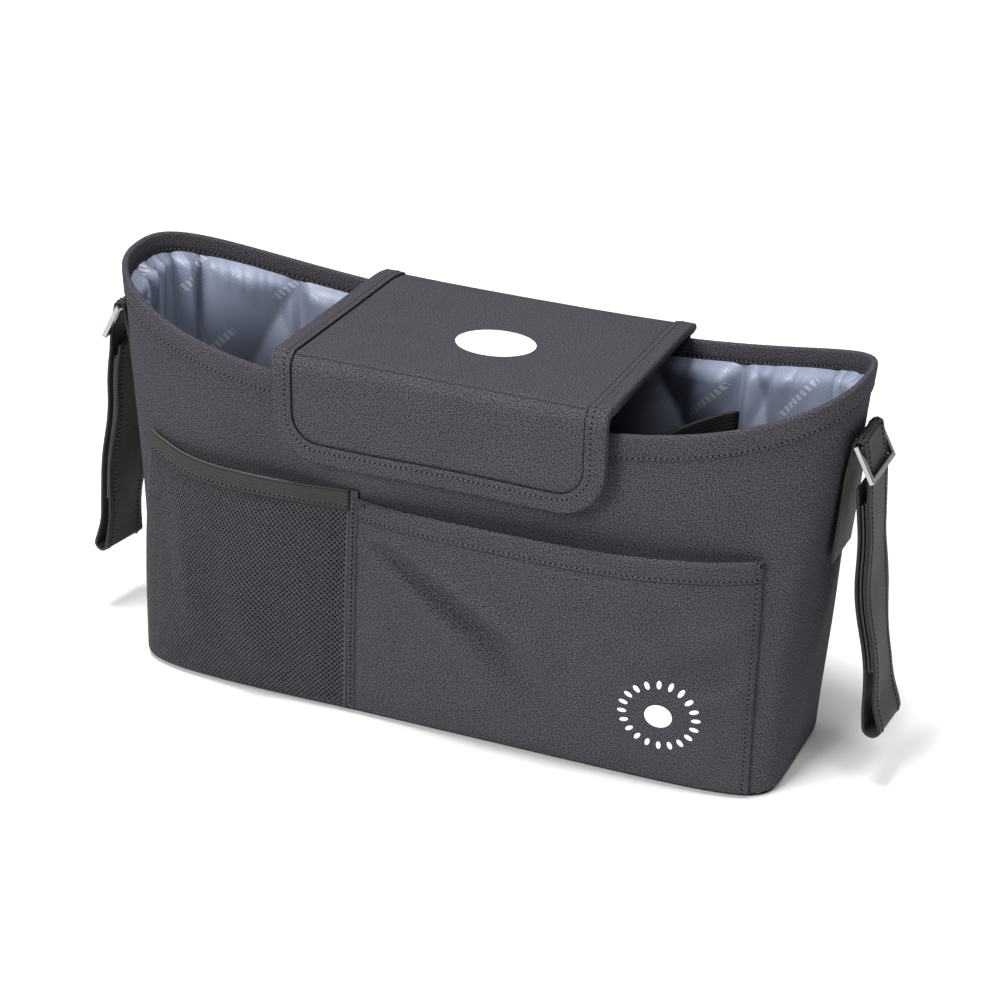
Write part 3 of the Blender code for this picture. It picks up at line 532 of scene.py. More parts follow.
def look_up(table, across, z):
    across, z = np.broadcast_arrays(np.asarray(across, float), z)
    i = np.clip((z - LEVELS[0]) / (LEVELS[1] - LEVELS[0]), 0.0, len(LEVELS) - 1.001)
    j = np.clip((across - ACROSS[0]) / (ACROSS[1] - ACROSS[0]), 0.0, len(ACROSS) - 1.001)
    row, column = i.astype(int), j.astype(int)
    below = table[row, column] * (column + 1 - j) + table[row, column + 1] * (j - column)
    over = table[row + 1, column] * (column + 1 - j) + table[row + 1, column + 1] * (j - column)
    return below * (row + 1 - i) + over * (i - row)


FRONT_TABLE = position_table(WALL[:FINE + 1], 0, 1, 0)
BACK_TABLE = position_table(WALL[FINE:], 0, -1, STATIONS)
LEFT_END_TABLE = position_table(WALL[:FINE // 4], 1, -1, 0)


def front_position(x, z):
    """Ring position on the front at a given x and height."""
    return look_up(FRONT_TABLE, x, z)


def back_position(x, z):
    """Ring position on the back at a given x and height."""
    return look_up(BACK_TABLE, -np.asarray(x), z)


def left_end_position(y, z):
    """Ring position round the left end at a given y and height."""
    return look_up(LEFT_END_TABLE, -np.asarray(y), z)


# %% [markdown]
# ## Laying cloth
# Each cloth starts as a flat grid from bmesh, and every point of it is then moved to its place
# on the wall. The grid's own run and rise, measured after it is laid, become the cloth map, and
# a Solidify modifier gives the cloth its thickness. A closed band is merged where its ends meet.


# %% Cloth helpers
def new_object(name, work, material):
    mesh = bpy.data.meshes.new(name)
    work.to_mesh(mesh)
    work.free()
    mesh.materials.append(material)
    mesh.shade_smooth()
    item = bpy.data.objects.new(name, mesh)
    bpy.context.collection.objects.link(item)
    return item


def points_of(work):
    return np.array([vert.co for vert in work.verts])


def move_to(work, spots):
    for vert, spot in zip(work.verts, spots):
        vert.co = spot


def finish_node(name, material):
    """A solid that keeps its shape and only gets its finish."""
    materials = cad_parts[name].data.materials
    materials.clear()
    materials.append(material)


def thicken(item, thickness, offset=-1.0):
    """Gives the cloth its thickness: offset -1 adds it behind the face, 1 in front."""
    solid = item.modifiers.new("thickness", "SOLIDIFY")
    solid.thickness = thickness
    solid.offset = offset
    solid.use_even_offset = False
    return item


def lay_cloth(name, columns, rows, place, material, thickness, offset=-1.0, closed=False,
              run=None, rise=None):
    """Lays a grid of columns by rows on a surface with place(column, row).

    The cloth map is measured on the laid grid, unless run or rise gives it in metres."""
    columns, rows = np.asarray(columns, float), np.asarray(rows, float)
    across, upward = len(columns) - 1, len(rows) - 1
    work = bmesh.new()
    bmesh.ops.create_grid(work, x_segments=across, y_segments=upward, size=0.5)
    flat = points_of(work)
    i = np.rint((flat[:, 0] + 0.5) * across).astype(int)
    j = np.rint((flat[:, 1] + 0.5) * upward).astype(int)
    spots = place(columns[i], rows[j])
    laid = np.zeros((across + 1, upward + 1, 3))
    laid[i, j] = spots
    if run is None:
        steps = np.linalg.norm(np.diff(laid, axis=0), axis=2).mean(axis=1)
        run = np.concatenate([[0.0], np.cumsum(steps)])
    if rise is None:
        steps = np.linalg.norm(np.diff(laid, axis=1), axis=2).mean(axis=0)
        rise = np.concatenate([[0.0], np.cumsum(steps)])
    cloth_map = work.loops.layers.uv.new("cloth")
    work.verts.ensure_lookup_table()
    for vert, spot, u, v in zip(work.verts, spots, run[i], rise[j]):
        vert.co = spot
        for loop in vert.link_loops:
            loop[cloth_map].uv = (u, v)
    if closed:
        bmesh.ops.remove_doubles(work, verts=work.verts, dist=1e-6)
    return thicken(new_object(name, work, material), thickness, offset)


def wear(piece, body, slot, *nodes):
    """The piece rides on its body and stands for the CAD nodes that it replaces."""
    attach(piece, body)
    if nodes:
        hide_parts(*nodes)
    return piece


# %% [markdown]
# ## Outer canvas
# The bag's canvas is cut as a front and a back that meet in a seam at each end, and a base that
# is sewn on below. All three are laid on the wall. The base turns up a little at its edge, where
# the seam pulls it.

# %% Front, back and base
CANVAS = 0.0010
SEAM_GAP = 0.02
PANEL_ROWS = np.concatenate([np.linspace(0.0, 0.03, 6), np.linspace(0.045, 1.0, 44)])

for panel, first in (("front_panel", 0), ("back_panel", STATIONS)):
    stations = np.linspace(first + SEAM_GAP, first + STATIONS - SEAM_GAP, 161)
    piece = lay_cloth(f"{panel}_canvas", stations, PANEL_ROWS, wall, panel_canvas, CANVAS)
    wear(piece, "bag", "charcoal_canvas", panel)


def base_place(q, reach):
    """From the middle of the base out to its edge, which turns up into the seam."""
    edge = wall(q, 0.0)
    spot = edge * reach[:, None]
    spot[:, 2] = 0.0009 * np.clip((reach - 0.965) / 0.035, 0.0, 1.0) ** 2
    return spot


reaches = [0.0, 0.2, 0.4, 0.6, 0.8, 0.9, 0.95, 0.965, 0.975, 0.985, 0.993, 1.0]
base = lay_cloth("base_canvas", np.linspace(TURN, 0, 193), reaches, base_place, canvas, CANVAS,
                 closed=True)
wear(base, "bag", "charcoal_canvas", "base_panel")
finish_node("base_board", grey_board)
print("outer canvas laid")

# %% [markdown]
# ## Turned edge at the mouth
# A canvas strip is folded over the mouth's raw edges and sewn through. Its section is a hairpin:
# up the outside, round a small crown, and down the inside. Two rows close together dip by a
# third of a millimetre where the stitches pull the strip down.

# %% Rim
FACING_OUTSIDE = 0.0128
FACING_INSIDE = 0.0105
STITCH_SETBACK = 0.0112
INNER_SETBACK = 0.0086
RIM_OUT = 0.0008
RIM_IN = -0.0026
CROWN = 0.0003

rim_section = [(RIM_OUT - 0.0007, -FACING_OUTSIDE), (RIM_OUT - 0.0001, -0.0126), (RIM_OUT, -0.0121),
               (RIM_OUT - 0.0002, -STITCH_SETBACK), (RIM_OUT, -0.0104), (RIM_OUT + 0.0001, -0.0070),
               (RIM_OUT + 0.0001, -0.0030)]
for angle in np.linspace(0.0, pi, 9):
    middle, half = (RIM_OUT + RIM_IN) / 2, (RIM_OUT - RIM_IN) / 2
    rim_section.append((middle + half * cos(angle), -0.0012 + (CROWN + 0.0012) * sin(angle)))
rim_section += [(RIM_IN - 0.0002, -0.0045), (RIM_IN - 0.0003, -0.0070), (RIM_IN - 0.0001, -0.0080),
                (RIM_IN + 0.0002, -INNER_SETBACK), (RIM_IN - 0.0001, -0.0093),
                (RIM_IN + 0.0001, -FACING_INSIDE)]
rim_section = np.array(rim_section)
rim_length = path_length(rim_section)
# Painted shade along both edges of the strip and along both stitch rows.
rim_canvas = make_canvas("rim_canvas", creases=[
    ("Y", 0.0001, 0.0009, 0.35), ("Y", float(rim_length[3]), 0.0006, 0.75),
    ("Y", float(rim_length[-3]), 0.0006, 0.7), ("Y", float(rim_length[-1]), 0.0009, 0.4)])


def rim_place(q, step):
    """A point of the rim's hairpin section at ring position q."""
    out, drop = rim_section[np.rint(step).astype(int)].T
    top = wall(q, 1.0)
    spot = above(q, top[:, 2] + np.minimum(drop, 0.0), out)
    spot[:, 2] = np.where(drop > 0.0, top[:, 2] + drop, spot[:, 2])
    return spot


rim = lay_cloth("rim_cloth", np.linspace(0, TURN, 385), range(len(rim_section)), rim_place,
                rim_canvas, 0.0007, closed=True, rise=rim_length)
wear(rim, "bag", "charcoal_canvas", "rim_facing")
print("rim section", len(rim_section), "points")

# %% [markdown]
# ## Gathered lining
# The lining is cut longer than the bag and gathered under the rim, so pleats hang from there
# and fade downwards. They come in three sizes, side by side all round, each with its own width,
# depth and length from one seeded random source. At the four divider seams the lining is pulled
# flat. One grid makes the floor and the wall: it starts as a point in the middle of the floor.

# %% Pleats
rng = np.random.default_rng(11)
LINING_OUT = -0.0014
DIVIDER_Q = {}
for side, fraction in (("left", 0.205), ("right", 0.245)):
    shares = crowded(np.linspace(0.0, 1.0, STATIONS + 1))
    near = float(np.interp(fraction, shares, range(STATIONS + 1)))
    DIVIDER_Q[side] = (near, TURN - near) if side == "left" else (STATIONS - near, STATIONS + near)


def gathers(widths, depths, lengths):
    """Folds side by side all round the ring: their borders, depths and lengths."""
    steps = rng.uniform(*widths, 400)
    borders = np.concatenate([[0.0], np.cumsum(steps)])
    borders = borders[borders < TURN - widths[0]]
    borders = np.append(borders, float(TURN))
    count = len(borders) - 1
    return borders, rng.uniform(*depths, count), rng.uniform(*lengths, count)


MOST_PLEAT = 0.0110

# Each size of fold: widths in ring steps, depths and lengths in metres, lean, and roundness.
FOLDS = [(gathers((1.6, 4.0), (0.0040, 0.0095), (0.080, 0.240)), 34.0, 0.75),
         (gathers((0.6, 1.7), (0.0006, 0.0040), (0.020, 0.080)), -24.0, 0.9),
         (gathers((0.22, 0.60), (0.0002, 0.0012), (0.006, 0.020)), 0.0, 0.9)]


def ring_gap(q, other):
    """How far apart two ring positions are, the shorter way round."""
    return np.abs((q - other + STATIONS) % TURN - STATIONS)


def pleats(q, z):
    """How far the lining's folds stand into the bag: round backs with sharp valleys between."""
    q, z = np.broadcast_arrays(np.asarray(q, float), z)
    below = np.clip(wall(q, 1.0)[..., 2] - FACING_INSIDE - z, 0.0, 1.0)
    total = np.zeros_like(below)
    for (borders, depths, lengths), lean, roundness in FOLDS:
        place = (q + lean * below * np.sin(2.0 * pi * q * 3 / TURN + 1.0)) % TURN
        fold = np.clip(np.searchsorted(borders, place, side="right") - 1, 0, len(depths) - 1)
        part = (place - borders[fold]) / (borders[fold + 1] - borders[fold])
        start = np.clip(below / 0.004, 0.0, 1.0) ** 0.6
        fade = start * np.clip(1.0 - below / lengths[fold], 0.0, 1.0) ** 0.7
        total = total + depths[fold] * fade * arch(part, roundness)
    calm = np.ones_like(below)
    for places in DIVIDER_Q.values():
        for place in places:
            calm = np.minimum(calm, np.clip(ring_gap(q, place) / 0.35, 0.0, 1.0))
    return np.minimum(total * calm * np.clip(z / 0.03, 0.0, 1.0), MOST_PLEAT)


# %% Lining
LINING_FLOOR = 0.0042
LINING_TOP_SETBACK = 0.0060
FLOOR_STEPS, WALL_STEPS = 9, 52


def lining_place(q, step):
    """Rows 0 to FLOOR_STEPS cross the floor, and the rest climb the wall."""
    floor_reach = np.clip(step / FLOOR_STEPS, 0.0, 1.0)
    share = np.clip((step - FLOOR_STEPS) / WALL_STEPS, 0.0, 1.0)
    top = wall(q, 1.0)[:, 2] - LINING_TOP_SETBACK
    z = LINING_FLOOR + (top - LINING_FLOOR) * share
    spot = above(q, z, LINING_OUT - pleats(q, z))
    spot[:, 0] *= floor_reach
    spot[:, 1] *= floor_reach
    return spot


lining = lay_cloth("lining_cloth", np.linspace(0, TURN, 769), range(FLOOR_STEPS + WALL_STEPS + 1),
                   lining_place, deep_satin, 0.0004, closed=True)
wear(lining, "bag", "blue_grey_lining", "lining")
print("lining folds", [len(folds[1]) for folds, lean, roundness in FOLDS])

# %% [markdown]
# ## Dividers
# Two walls of lining cloth split the bag into three. Each bows towards the middle, because it is
# cut a little long, and a wide black elastic along its top keeps it upright.

# %% Dividers
DIVIDER_TOP = 0.153
ELASTIC_HEIGHT = 0.019
DIVIDER_BOW = 0.026
DIVIDER_FOOT = 0.0050


def divider_place(side, sign):
    front_q, back_q = DIVIDER_Q[side]

    def place(v, z):
        out = LINING_OUT - 0.0014
        front, back = above(front_q, z, out), above(back_q, z, out)
        spot = front + (back - front) * v[:, None]
        bow = DIVIDER_BOW * arch(v, 0.8)
        ripple = 0.0008 * np.sin(9.0 * v + 30.0 * z) * arch(v) * np.clip((0.134 - z) / 0.02, 0.0, 1.0)
        spot[:, 0] = sign * (np.abs(spot[:, 0]) - bow) + ripple
        spot[:, 2] = z
        return spot

    return place


for side, sign in (("left", -1.0), ("right", 1.0)):
    steps = np.linspace(0.0, 1.0, 41)
    place = divider_place(side, sign)
    heights = np.linspace(DIVIDER_FOOT, DIVIDER_TOP - ELASTIC_HEIGHT + 0.002, 30)
    cloth = lay_cloth(f"{side}_divider_cloth", steps, heights, place, satin, 0.0006, offset=0.0)
    wear(cloth, "bag", "blue_grey_lining", f"{side}_divider")
    heights = [DIVIDER_TOP - ELASTIC_HEIGHT, 0.1345, 0.1355, 0.137, 0.1435, 0.1500, 0.1520,
               DIVIDER_TOP]
    band = lay_cloth(f"{side}_divider_band", steps, heights, place, divider_elastic, 0.0018,
                     offset=0.0)
    wear(band, "bag", "black_elastic", f"{side}_divider_elastic")

# %% [markdown]
# ## Net pocket
# The net is real geometry: a grid turned by 45 degrees, cut to the pocket's rectangle, each face
# inset, and the middles deleted. That leaves diamond holes between knitted strands. It is then
# laid over the wall with some slack, as a stuffed net hangs, and thickened.

# %% Sizes of the pockets
SEAM_BOTTOM_X, SEAM_TOP_X = -0.0495, -0.0405
SEAM_STRIP_WIDTH = 0.0045
NET_TOP, NET_TOP_RISE, NET_CORNER_RISE = 0.1300, 0.0042, 0.0060
NET_ELASTIC_HEIGHT = 0.0115
NET_END_SETBACK, NET_END_LEAN = 0.0340, 0.0070
NET_SLACK, NET_CORNER, NET_SEAM_EDGE = 0.0083, 0.14, 0.96
BAND_STITCH = 0.20
POCKET_TOP, POCKET_RISE, POCKET_RIGHT_X = 0.1310, 0.0020, 0.1635
POCKET_SLACK = 0.0086
PANEL_FOOT = 0.0016


def seam_x(z):
    return SEAM_BOTTOM_X + (SEAM_TOP_X - SEAM_BOTTOM_X) * z / POCKET_TOP


def net_top(u):
    return NET_TOP + NET_TOP_RISE * np.sin(0.5 * pi * u ** 1.5) + NET_CORNER_RISE * np.exp(-u / 0.2)


def net_slack(u, share):
    """The net lies close round the bag's corner and hangs slack from there to the seam."""
    along = np.clip((u - NET_CORNER) / (NET_SEAM_EDGE - NET_CORNER), 0.0, 1.0)
    upward = arch(0.80 * share, 0.6)
    ripple = 0.0012 * np.sin(7.0 * pi * u) * arch(share)
    pull = 0.0010 * np.sin(26.0 * u + 9.0 * share) * arch(share)
    ease = 0.0006 * (1.0 - share) ** 2 + 0.0004 * (1.0 - along)
    return (NET_SLACK * upward + ripple + pull) * arch(along ** 1.3, 0.8) + ease


def net_place(u, z, out):
    first = left_end_position(-NET_END_SETBACK - NET_END_LEAN * (z / NET_TOP) ** 2, z)
    last = front_position(seam_x(z) - SEAM_STRIP_WIDTH / 2, z)
    return above(first + (last - first) * u, z, out)


def net_cloth_place(u, share):
    top = net_top(u) - NET_ELASTIC_HEIGHT + 0.0010
    return net_place(u, PANEL_FOOT + (top - PANEL_FOOT) * share, 0.0008 + net_slack(u, share))


def net_band_place(u, share):
    z = net_top(u) - NET_ELASTIC_HEIGHT * (1 - share)
    groove = 0.00030 * np.exp(-((share - BAND_STITCH) / 0.05) ** 2)
    return net_place(u, z, 0.0014 + net_slack(u, 1.0) - groove)


# %% Knitted net
NET_WIDTH, NET_HEIGHT = 0.158, 0.120
HOLE_WIDTH, HOLE_HEIGHT = 0.0027, 0.0030
STRAND = 0.00031
NET_CELLS = 118
LEAST_HOLE = 1.2e-6


def make_net():
    work = bmesh.new()
    bmesh.ops.create_grid(work, x_segments=NET_CELLS, y_segments=NET_CELLS, size=NET_CELLS / 2)
    bmesh.ops.rotate(work, verts=work.verts, matrix=Matrix.Rotation(radians(45), 3, "Z"))
    reach = 2 ** 0.5
    bmesh.ops.scale(work, verts=work.verts, vec=(HOLE_WIDTH / reach, HOLE_HEIGHT / reach, 1.0))
    sides = (((-NET_WIDTH / 2, 0, 0), (-1, 0, 0)), ((NET_WIDTH / 2, 0, 0), (1, 0, 0)),
             ((0, -NET_HEIGHT / 2, 0), (0, -1, 0)), ((0, NET_HEIGHT / 2, 0), (0, 1, 0)))
    for corner, outward in sides:
        bmesh.ops.bisect_plane(work, geom=[*work.verts, *work.edges, *work.faces], dist=1e-7,
                               plane_co=corner, plane_no=outward, clear_outer=True)
    bmesh.ops.inset_individual(work, faces=work.faces, thickness=STRAND, use_even_offset=True)
    holes = [face for face in work.faces if all(len(edge.link_faces) == 2 for edge in face.edges)
             and len(face.verts) == 4 and face.calc_area() > LEAST_HOLE]
    bmesh.ops.delete(work, geom=holes, context="FACES")
    flat = np.clip(points_of(work)[:, :2] / (NET_WIDTH, NET_HEIGHT) + 0.5, 0.0, 1.0)
    move_to(work, net_cloth_place(flat[:, 0], flat[:, 1]))
    print("net holes", len(holes))
    return thicken(new_object("pocket_net", work, net_yarn), 0.0005, 1.0)


net = make_net()
wear(net, "bag", "dark_net", "mesh_pocket")
band_rows = [0.0, 0.08, 0.14, 0.20, 0.26, 0.32, 0.5, 0.75, 0.93, 1.0]
band = lay_cloth("net_band", np.linspace(0, 1, 61), band_rows, net_band_place, pocket_elastic, 0.0013,
                 1.0, rise=np.array(band_rows) * NET_ELASTIC_HEIGHT)
wear(band, "bag", "dark_olive_elastic", "mesh_pocket_elastic")


# %% [markdown]
# ## Slip pocket
# The right pocket is one canvas with its mouth turned down as a hem. It is sewn at the shared
# seam on the left, along the base, and down a double-stitched seam on the right, and bags out a
# little between them. A soft crease runs down from its upper left corner, as in any pocket that
# hangs from one point.

# %% Shared seam and pocket
def strip_place(u, z):
    q = front_position(seam_x(z) + SEAM_STRIP_WIDTH * (u - 0.5), z)
    return above(q, z, 0.0014 + 0.0006 * arch(u, 0.5))


heights = np.linspace(PANEL_FOOT, NET_TOP + NET_TOP_RISE + 0.0005, 50)
# Painted shade along one edge of the strip.
strip_canvas = make_canvas("strip_canvas", creases=[("X", 0.0001, 0.0007, 0.35)])
strip = lay_cloth("seam_strip", np.linspace(-0.02, 1.06, 11), heights, strip_place, strip_canvas,
                  0.0010)
wear(strip, "bag", "canvas_trim", "pocket_seam_strip")

POCKET_HEM = 0.0120
HEM_SHARE = 1.0 - POCKET_HEM / POCKET_TOP
HEM_STITCH = HEM_SHARE + 0.013
SIDE_STITCH = 0.977
POCKET_RUN, POCKET_RISE_LENGTH = 0.204, 0.1314 - PANEL_FOOT


def pocket_ends(z):
    first = front_position(seam_x(z) + SEAM_STRIP_WIDTH / 2 + 0.0003, z)
    return first, front_position(POCKET_RIGHT_X, z)


# The valley's path: how far down the pocket, and how far across it.
VALLEY = np.array([(0.10, -0.02), (0.22, 0.10), (0.36, 0.222), (0.48, 0.32), (0.65, 0.392),
                   (0.90, 0.46)])


def pocket_slack(u, share):
    """Slack at the mouth, a valley from the upper left corner, and a soft fold near the right."""
    down = 1.0 - share
    loose = POCKET_SLACK * arch(u, 0.6) * share
    loose = loose + 0.0046 * arch(u, 0.45) * arch(share, 0.7) * np.clip(down / 0.12, 0.0, 1.0)
    away = (u - np.interp(down, *VALLEY.T)) / (0.030 + 0.035 * down)
    strength = np.clip((down - 0.095) / 0.10, 0.0, 1.0) * np.clip((0.95 - down) / 0.45, 0.0, 1.0)
    ridge = 0.0026 * np.exp(-((np.abs(away) - 1.9) / 0.8) ** 2) * arch(u * 1.5 + 0.1, 1.0)
    fold = -0.88 * loose * np.exp(-away ** 2) + ridge
    other = (share - 0.54 - 0.30 * (u - 0.86)) / 0.070
    soft = np.exp(-((u - 0.85) / 0.12) ** 2) * (0.0046 * np.exp(-other ** 2)
                                                - 0.0020 * np.exp(-(np.abs(other) - 1.9) ** 2))
    sway = 0.0006 * np.sin(17.0 * u + 6.0 * share) * arch(share) * arch(u)
    return np.maximum(loose + fold * strength - soft + sway, 0.0)


def pocket_height(u):
    return POCKET_TOP + POCKET_RISE * np.sin(pi * u) - PANEL_FOOT


def pocket_place(u, share, out=0.0):
    z = PANEL_FOOT + pocket_height(u) * share
    first, last = pocket_ends(z)
    hem = 0.0006 * np.clip((share - HEM_SHARE) / 0.004, 0.0, 1.0)
    seam = 0.0003 * np.exp(-((share - HEM_STITCH) / 0.006) ** 2)
    side = 0.0003 * np.exp(-((u - SIDE_STITCH) / 0.003) ** 2)
    lift = 0.0015 + pocket_slack(u, share) + hem - seam - side + out
    return above(first + (last - first) * u, z, lift)


pocket_columns = np.unique(np.concatenate([np.linspace(0, 0.975, 130), np.linspace(0.975, 1.0, 14)]))
pocket_rows = np.unique(np.concatenate([np.linspace(0, HEM_SHARE - 0.006, 76), HEM_SHARE + np.array(
    [-0.002, 0.0, 0.002, 0.004, 0.007, 0.010, 0.012, 0.014, 0.017, 0.025, 0.045, 0.065]), [1.0]]))
# Painted shade along the pocket's bottom edge, its hem edge and its two stitch rows.
pocket_canvas = make_canvas("pocket_canvas", creases=[
    ("Y", 0.0009, 0.0008, 0.4), ("Y", HEM_SHARE * POCKET_RISE_LENGTH, 0.0006, 0.55),
    ("Y", HEM_STITCH * POCKET_RISE_LENGTH, 0.0006, 0.75),
    ("X", SIDE_STITCH * POCKET_RUN, 0.0007, 0.5)])
pocket = lay_cloth("slip_pocket", pocket_columns, pocket_rows, pocket_place, pocket_canvas, CANVAS,
                   run=pocket_columns * POCKET_RUN, rise=pocket_rows * POCKET_RISE_LENGTH)
wear(pocket, "bag", "charcoal_canvas", "front_pocket")


# %% [markdown]
# ## Prints
# The print on the pocket is a plain ring of short bars round a dot, and the one on the lid is a
# plain disc. Both are thin films of ink on the canvas: bars and discs cut flat with bmesh and
# then laid on the cloth's face.

# %% Pocket print
PRINT_X, PRINT_Z, PRINT_RADIUS = 0.1200, 0.0444, 0.0181
DOT_RADIUS, BAR_HALF_LENGTH, BAR_SHAPE = 0.0068, 0.0023, (0.52, 1.0, 1.0)
BARS = 20
INK = 0.00025


def pocket_face(x, z, out):
    first, last = pocket_ends(z)
    u = (front_position(x, z) - first) / (last - first)
    return pocket_place(u, (z - PANEL_FOOT) / pocket_height(u), out)


def flat_disc(work, radius, segments):
    return bmesh.ops.create_circle(work, cap_ends=True, radius=radius, segments=segments)["verts"]


def make_pocket_print():
    work = bmesh.new()
    flat_disc(work, DOT_RADIUS, 40)
    for k in range(BARS):
        made = flat_disc(work, BAR_HALF_LENGTH, 14)
        bmesh.ops.scale(work, verts=made, vec=BAR_SHAPE)
        bmesh.ops.translate(work, verts=made, vec=(0.0, PRINT_RADIUS, 0.0))
        bmesh.ops.rotate(work, verts=made, matrix=Matrix.Rotation(2 * pi * k / BARS, 3, "Z"))
    bmesh.ops.triangulate(work, faces=work.faces)
    bmesh.ops.subdivide_edges(work, edges=work.edges, cuts=1)
    flat = points_of(work)
    move_to(work, pocket_face(PRINT_X + flat[:, 0], PRINT_Z + flat[:, 1], INK + 0.0001))
    return thicken(new_object("pocket_print_ink", work, print_ink), INK)


ink = make_pocket_print()
wear(ink, "bag", "white_print", "pocket_print")

# %% [markdown]
# ## Lid
# The lid is one long panel: it starts at the bending line behind the rim, crosses the bag,
# folds softly over the front and hangs as a flap with two round corners. It is laid by arc
# length along its side view, so the cover, the padding, the lining and the binding all share
# one path. A wide tape binds its free edge.

# %% Lid path
LID_HALF_WIDTH = 0.0860
LID_REAR, LID_FRONT = (0.0815, 0.1905), (-0.0708, 0.2060)
FOLD_RADIUS = 0.0075
FLAP_BOTTOM_Z = 0.1510
FLAP_CORNER = 0.0240
REAR_SHIFT, FRONT_SHIFT = -0.0035, 0.0075
REAR_ROLL = 0.0019
REAR_DROP = 0.0022


def lid_side_view():
    """The lid's top face from its rear roll, over the fold and down the flap."""
    run, rise = LID_REAR[0] - LID_FRONT[0], LID_FRONT[1] - LID_REAR[1]
    slope = np.arctan2(rise, run)
    points = []
    for angle in np.linspace(radians(-35), pi / 2 - slope, 7):
        points.append((LID_REAR[0] + REAR_ROLL * cos(angle),
                       LID_REAR[1] - REAR_ROLL + REAR_ROLL * sin(angle)))
    centre_y = LID_FRONT[0] + FOLD_RADIUS
    centre_z = LID_REAR[1] + (LID_REAR[0] - centre_y) * rise / run - FOLD_RADIUS / cos(slope)
    start = np.array(points[-1])
    arc = [(centre_y + FOLD_RADIUS * cos(a), centre_z + FOLD_RADIUS * sin(a))
           for a in np.linspace(pi / 2 - slope, pi, 12)]
    for share in np.linspace(0.02, 0.98, 30):
        points.append(tuple(start + (np.array(arc[0]) - start) * share))
    points += arc
    for share in np.linspace(0.03, 1.0, 18):
        points.append((LID_FRONT[0], arc[-1][1] + (FLAP_BOTTOM_Z - arc[-1][1]) * share))
    return np.array(points)


SIDE = lid_side_view()
SIDE_C = path_length(SIDE)
TANGENT = np.gradient(SIDE, SIDE_C, axis=0)
TANGENT /= np.linalg.norm(TANGENT, axis=1, keepdims=True)
LID_LENGTH = float(SIDE_C[-1])
ROLL_LENGTH = float(SIDE_C[6])
TOP_LENGTH = float(SIDE_C[36])


def top_share(c):
    """0 at the rear roll and 1 at the front fold."""
    return np.clip((c - ROLL_LENGTH) / (TOP_LENGTH - ROLL_LENGTH), 0.0, 1.0)


def lid_point(x, c, depth):
    """A point at x from the lid's middle line and arc length c, under its top face."""
    x, c, depth = np.broadcast_arrays(x, c, depth)
    y = np.interp(c, SIDE_C, SIDE[:, 0])
    z = np.interp(c, SIDE_C, SIDE[:, 1])
    tangent_y = np.interp(c, SIDE_C, TANGENT[:, 0])
    tangent_z = np.interp(c, SIDE_C, TANGENT[:, 1])
    centre = REAR_SHIFT + (FRONT_SHIFT - REAR_SHIFT) * top_share(c)
    under = depth + lid_sag(x, c)
    settled = REAR_DROP * np.exp(-(c / 0.012) ** 2)
    return np.stack([centre + x, y - tangent_z * under, z + tangent_y * under - settled], axis=-1)


def lid_sag(x, c):
    """The lid dips between its bound sides, most at the rear, and its flap stays nearly flat."""
    across = np.clip(1.0 - (x / LID_HALF_WIDTH) ** 2, 0.0, 1.0)
    along = top_share(c)
    top = 0.0016 * across * (1.0 - along) ** 0.8 * np.clip(c / ROLL_LENGTH, 0.0, 1.0)
    flap = np.clip((c - TOP_LENGTH - 0.010) / 0.03, 0.0, 1.0)
    return top + 0.0006 * flap * np.sin(x * 60.0 + 1.0) + 0.0007 * across * np.sin(pi * along) ** 2


def lid_half_width(c, inset=0.0):
    start = LID_LENGTH - FLAP_CORNER
    radius = FLAP_CORNER - inset
    drop = np.clip(c - start, 0.0, radius)
    return LID_HALF_WIDTH - FLAP_CORNER + np.sqrt(np.maximum(radius ** 2 - drop ** 2, 0.0))


def lid_rows(inset, steps):
    corner = LID_LENGTH - FLAP_CORNER
    radius = FLAP_CORNER - inset
    return [*np.linspace(0.0, ROLL_LENGTH, 6), *np.linspace(ROLL_LENGTH, TOP_LENGTH, steps)[1:],
            *np.linspace(TOP_LENGTH, corner, steps // 2)[1:],
            *(corner + radius * np.sin(np.linspace(0.0, pi / 2, 12)))[1:]]


# %% Lid layers
LID_CLOTH, LID_PAD, LID_LINING = 0.0008, 0.0015, 0.0005
PAD_TOP = 0.0012
LINING_TOP = PAD_TOP + LID_PAD + 0.0003
BINDING_WIDTH = 0.0100


def edge_distance(u, c, inset):
    """Roughly how far a place on the lid is from its bound edge."""
    side = (1.0 - np.abs(u)) * lid_half_width(c, inset)
    return np.minimum(side, LID_LENGTH - c)


def lid_layer(name, columns, steps, inset, top, thickness, material, dip=0.0, rear=0.0):
    rows = np.array(lid_rows(inset, steps))
    rows = np.concatenate([[rear], rows[rows > rear + 0.0005]])

    def place(u, c):
        under = dip * np.clip(1.0 - edge_distance(u, c, inset) / 0.012, 0.0, 1.0) ** 0.5
        return lid_point(u * lid_half_width(c, inset), c, top + under)

    return lay_cloth(name, columns[::-1], rows, place, material, thickness)


fine_columns = np.concatenate([np.linspace(-1, -0.86, 8), np.linspace(-0.84, 0.84, 60),
                               np.linspace(0.86, 1, 8)])
# Painted shade along the lid's front fold.
fold_canvas = make_canvas("lid_cover_canvas", creases=[("Y", TOP_LENGTH + 0.0068, 0.0007, 0.6)])
cover = lid_layer("lid_canvas", fine_columns, 60, 0.0003, 0.0, LID_CLOTH, fold_canvas, dip=0.0003)
wear(cover, "lid", "charcoal_canvas", "lid_cover")
pad = lid_layer("lid_pad", np.linspace(-1, 1, 33), 30, 0.0025, PAD_TOP, LID_PAD, grey_board, rear=0.010)
wear(pad, "lid", "grey_board", "lid_padding")
under = lid_layer("lid_underside", np.linspace(-1, 1, 41), 40, 0.0003, LINING_TOP, LID_LINING, satin,
                  rear=0.005)
wear(under, "lid", "blue_grey_lining", "lid_lining")


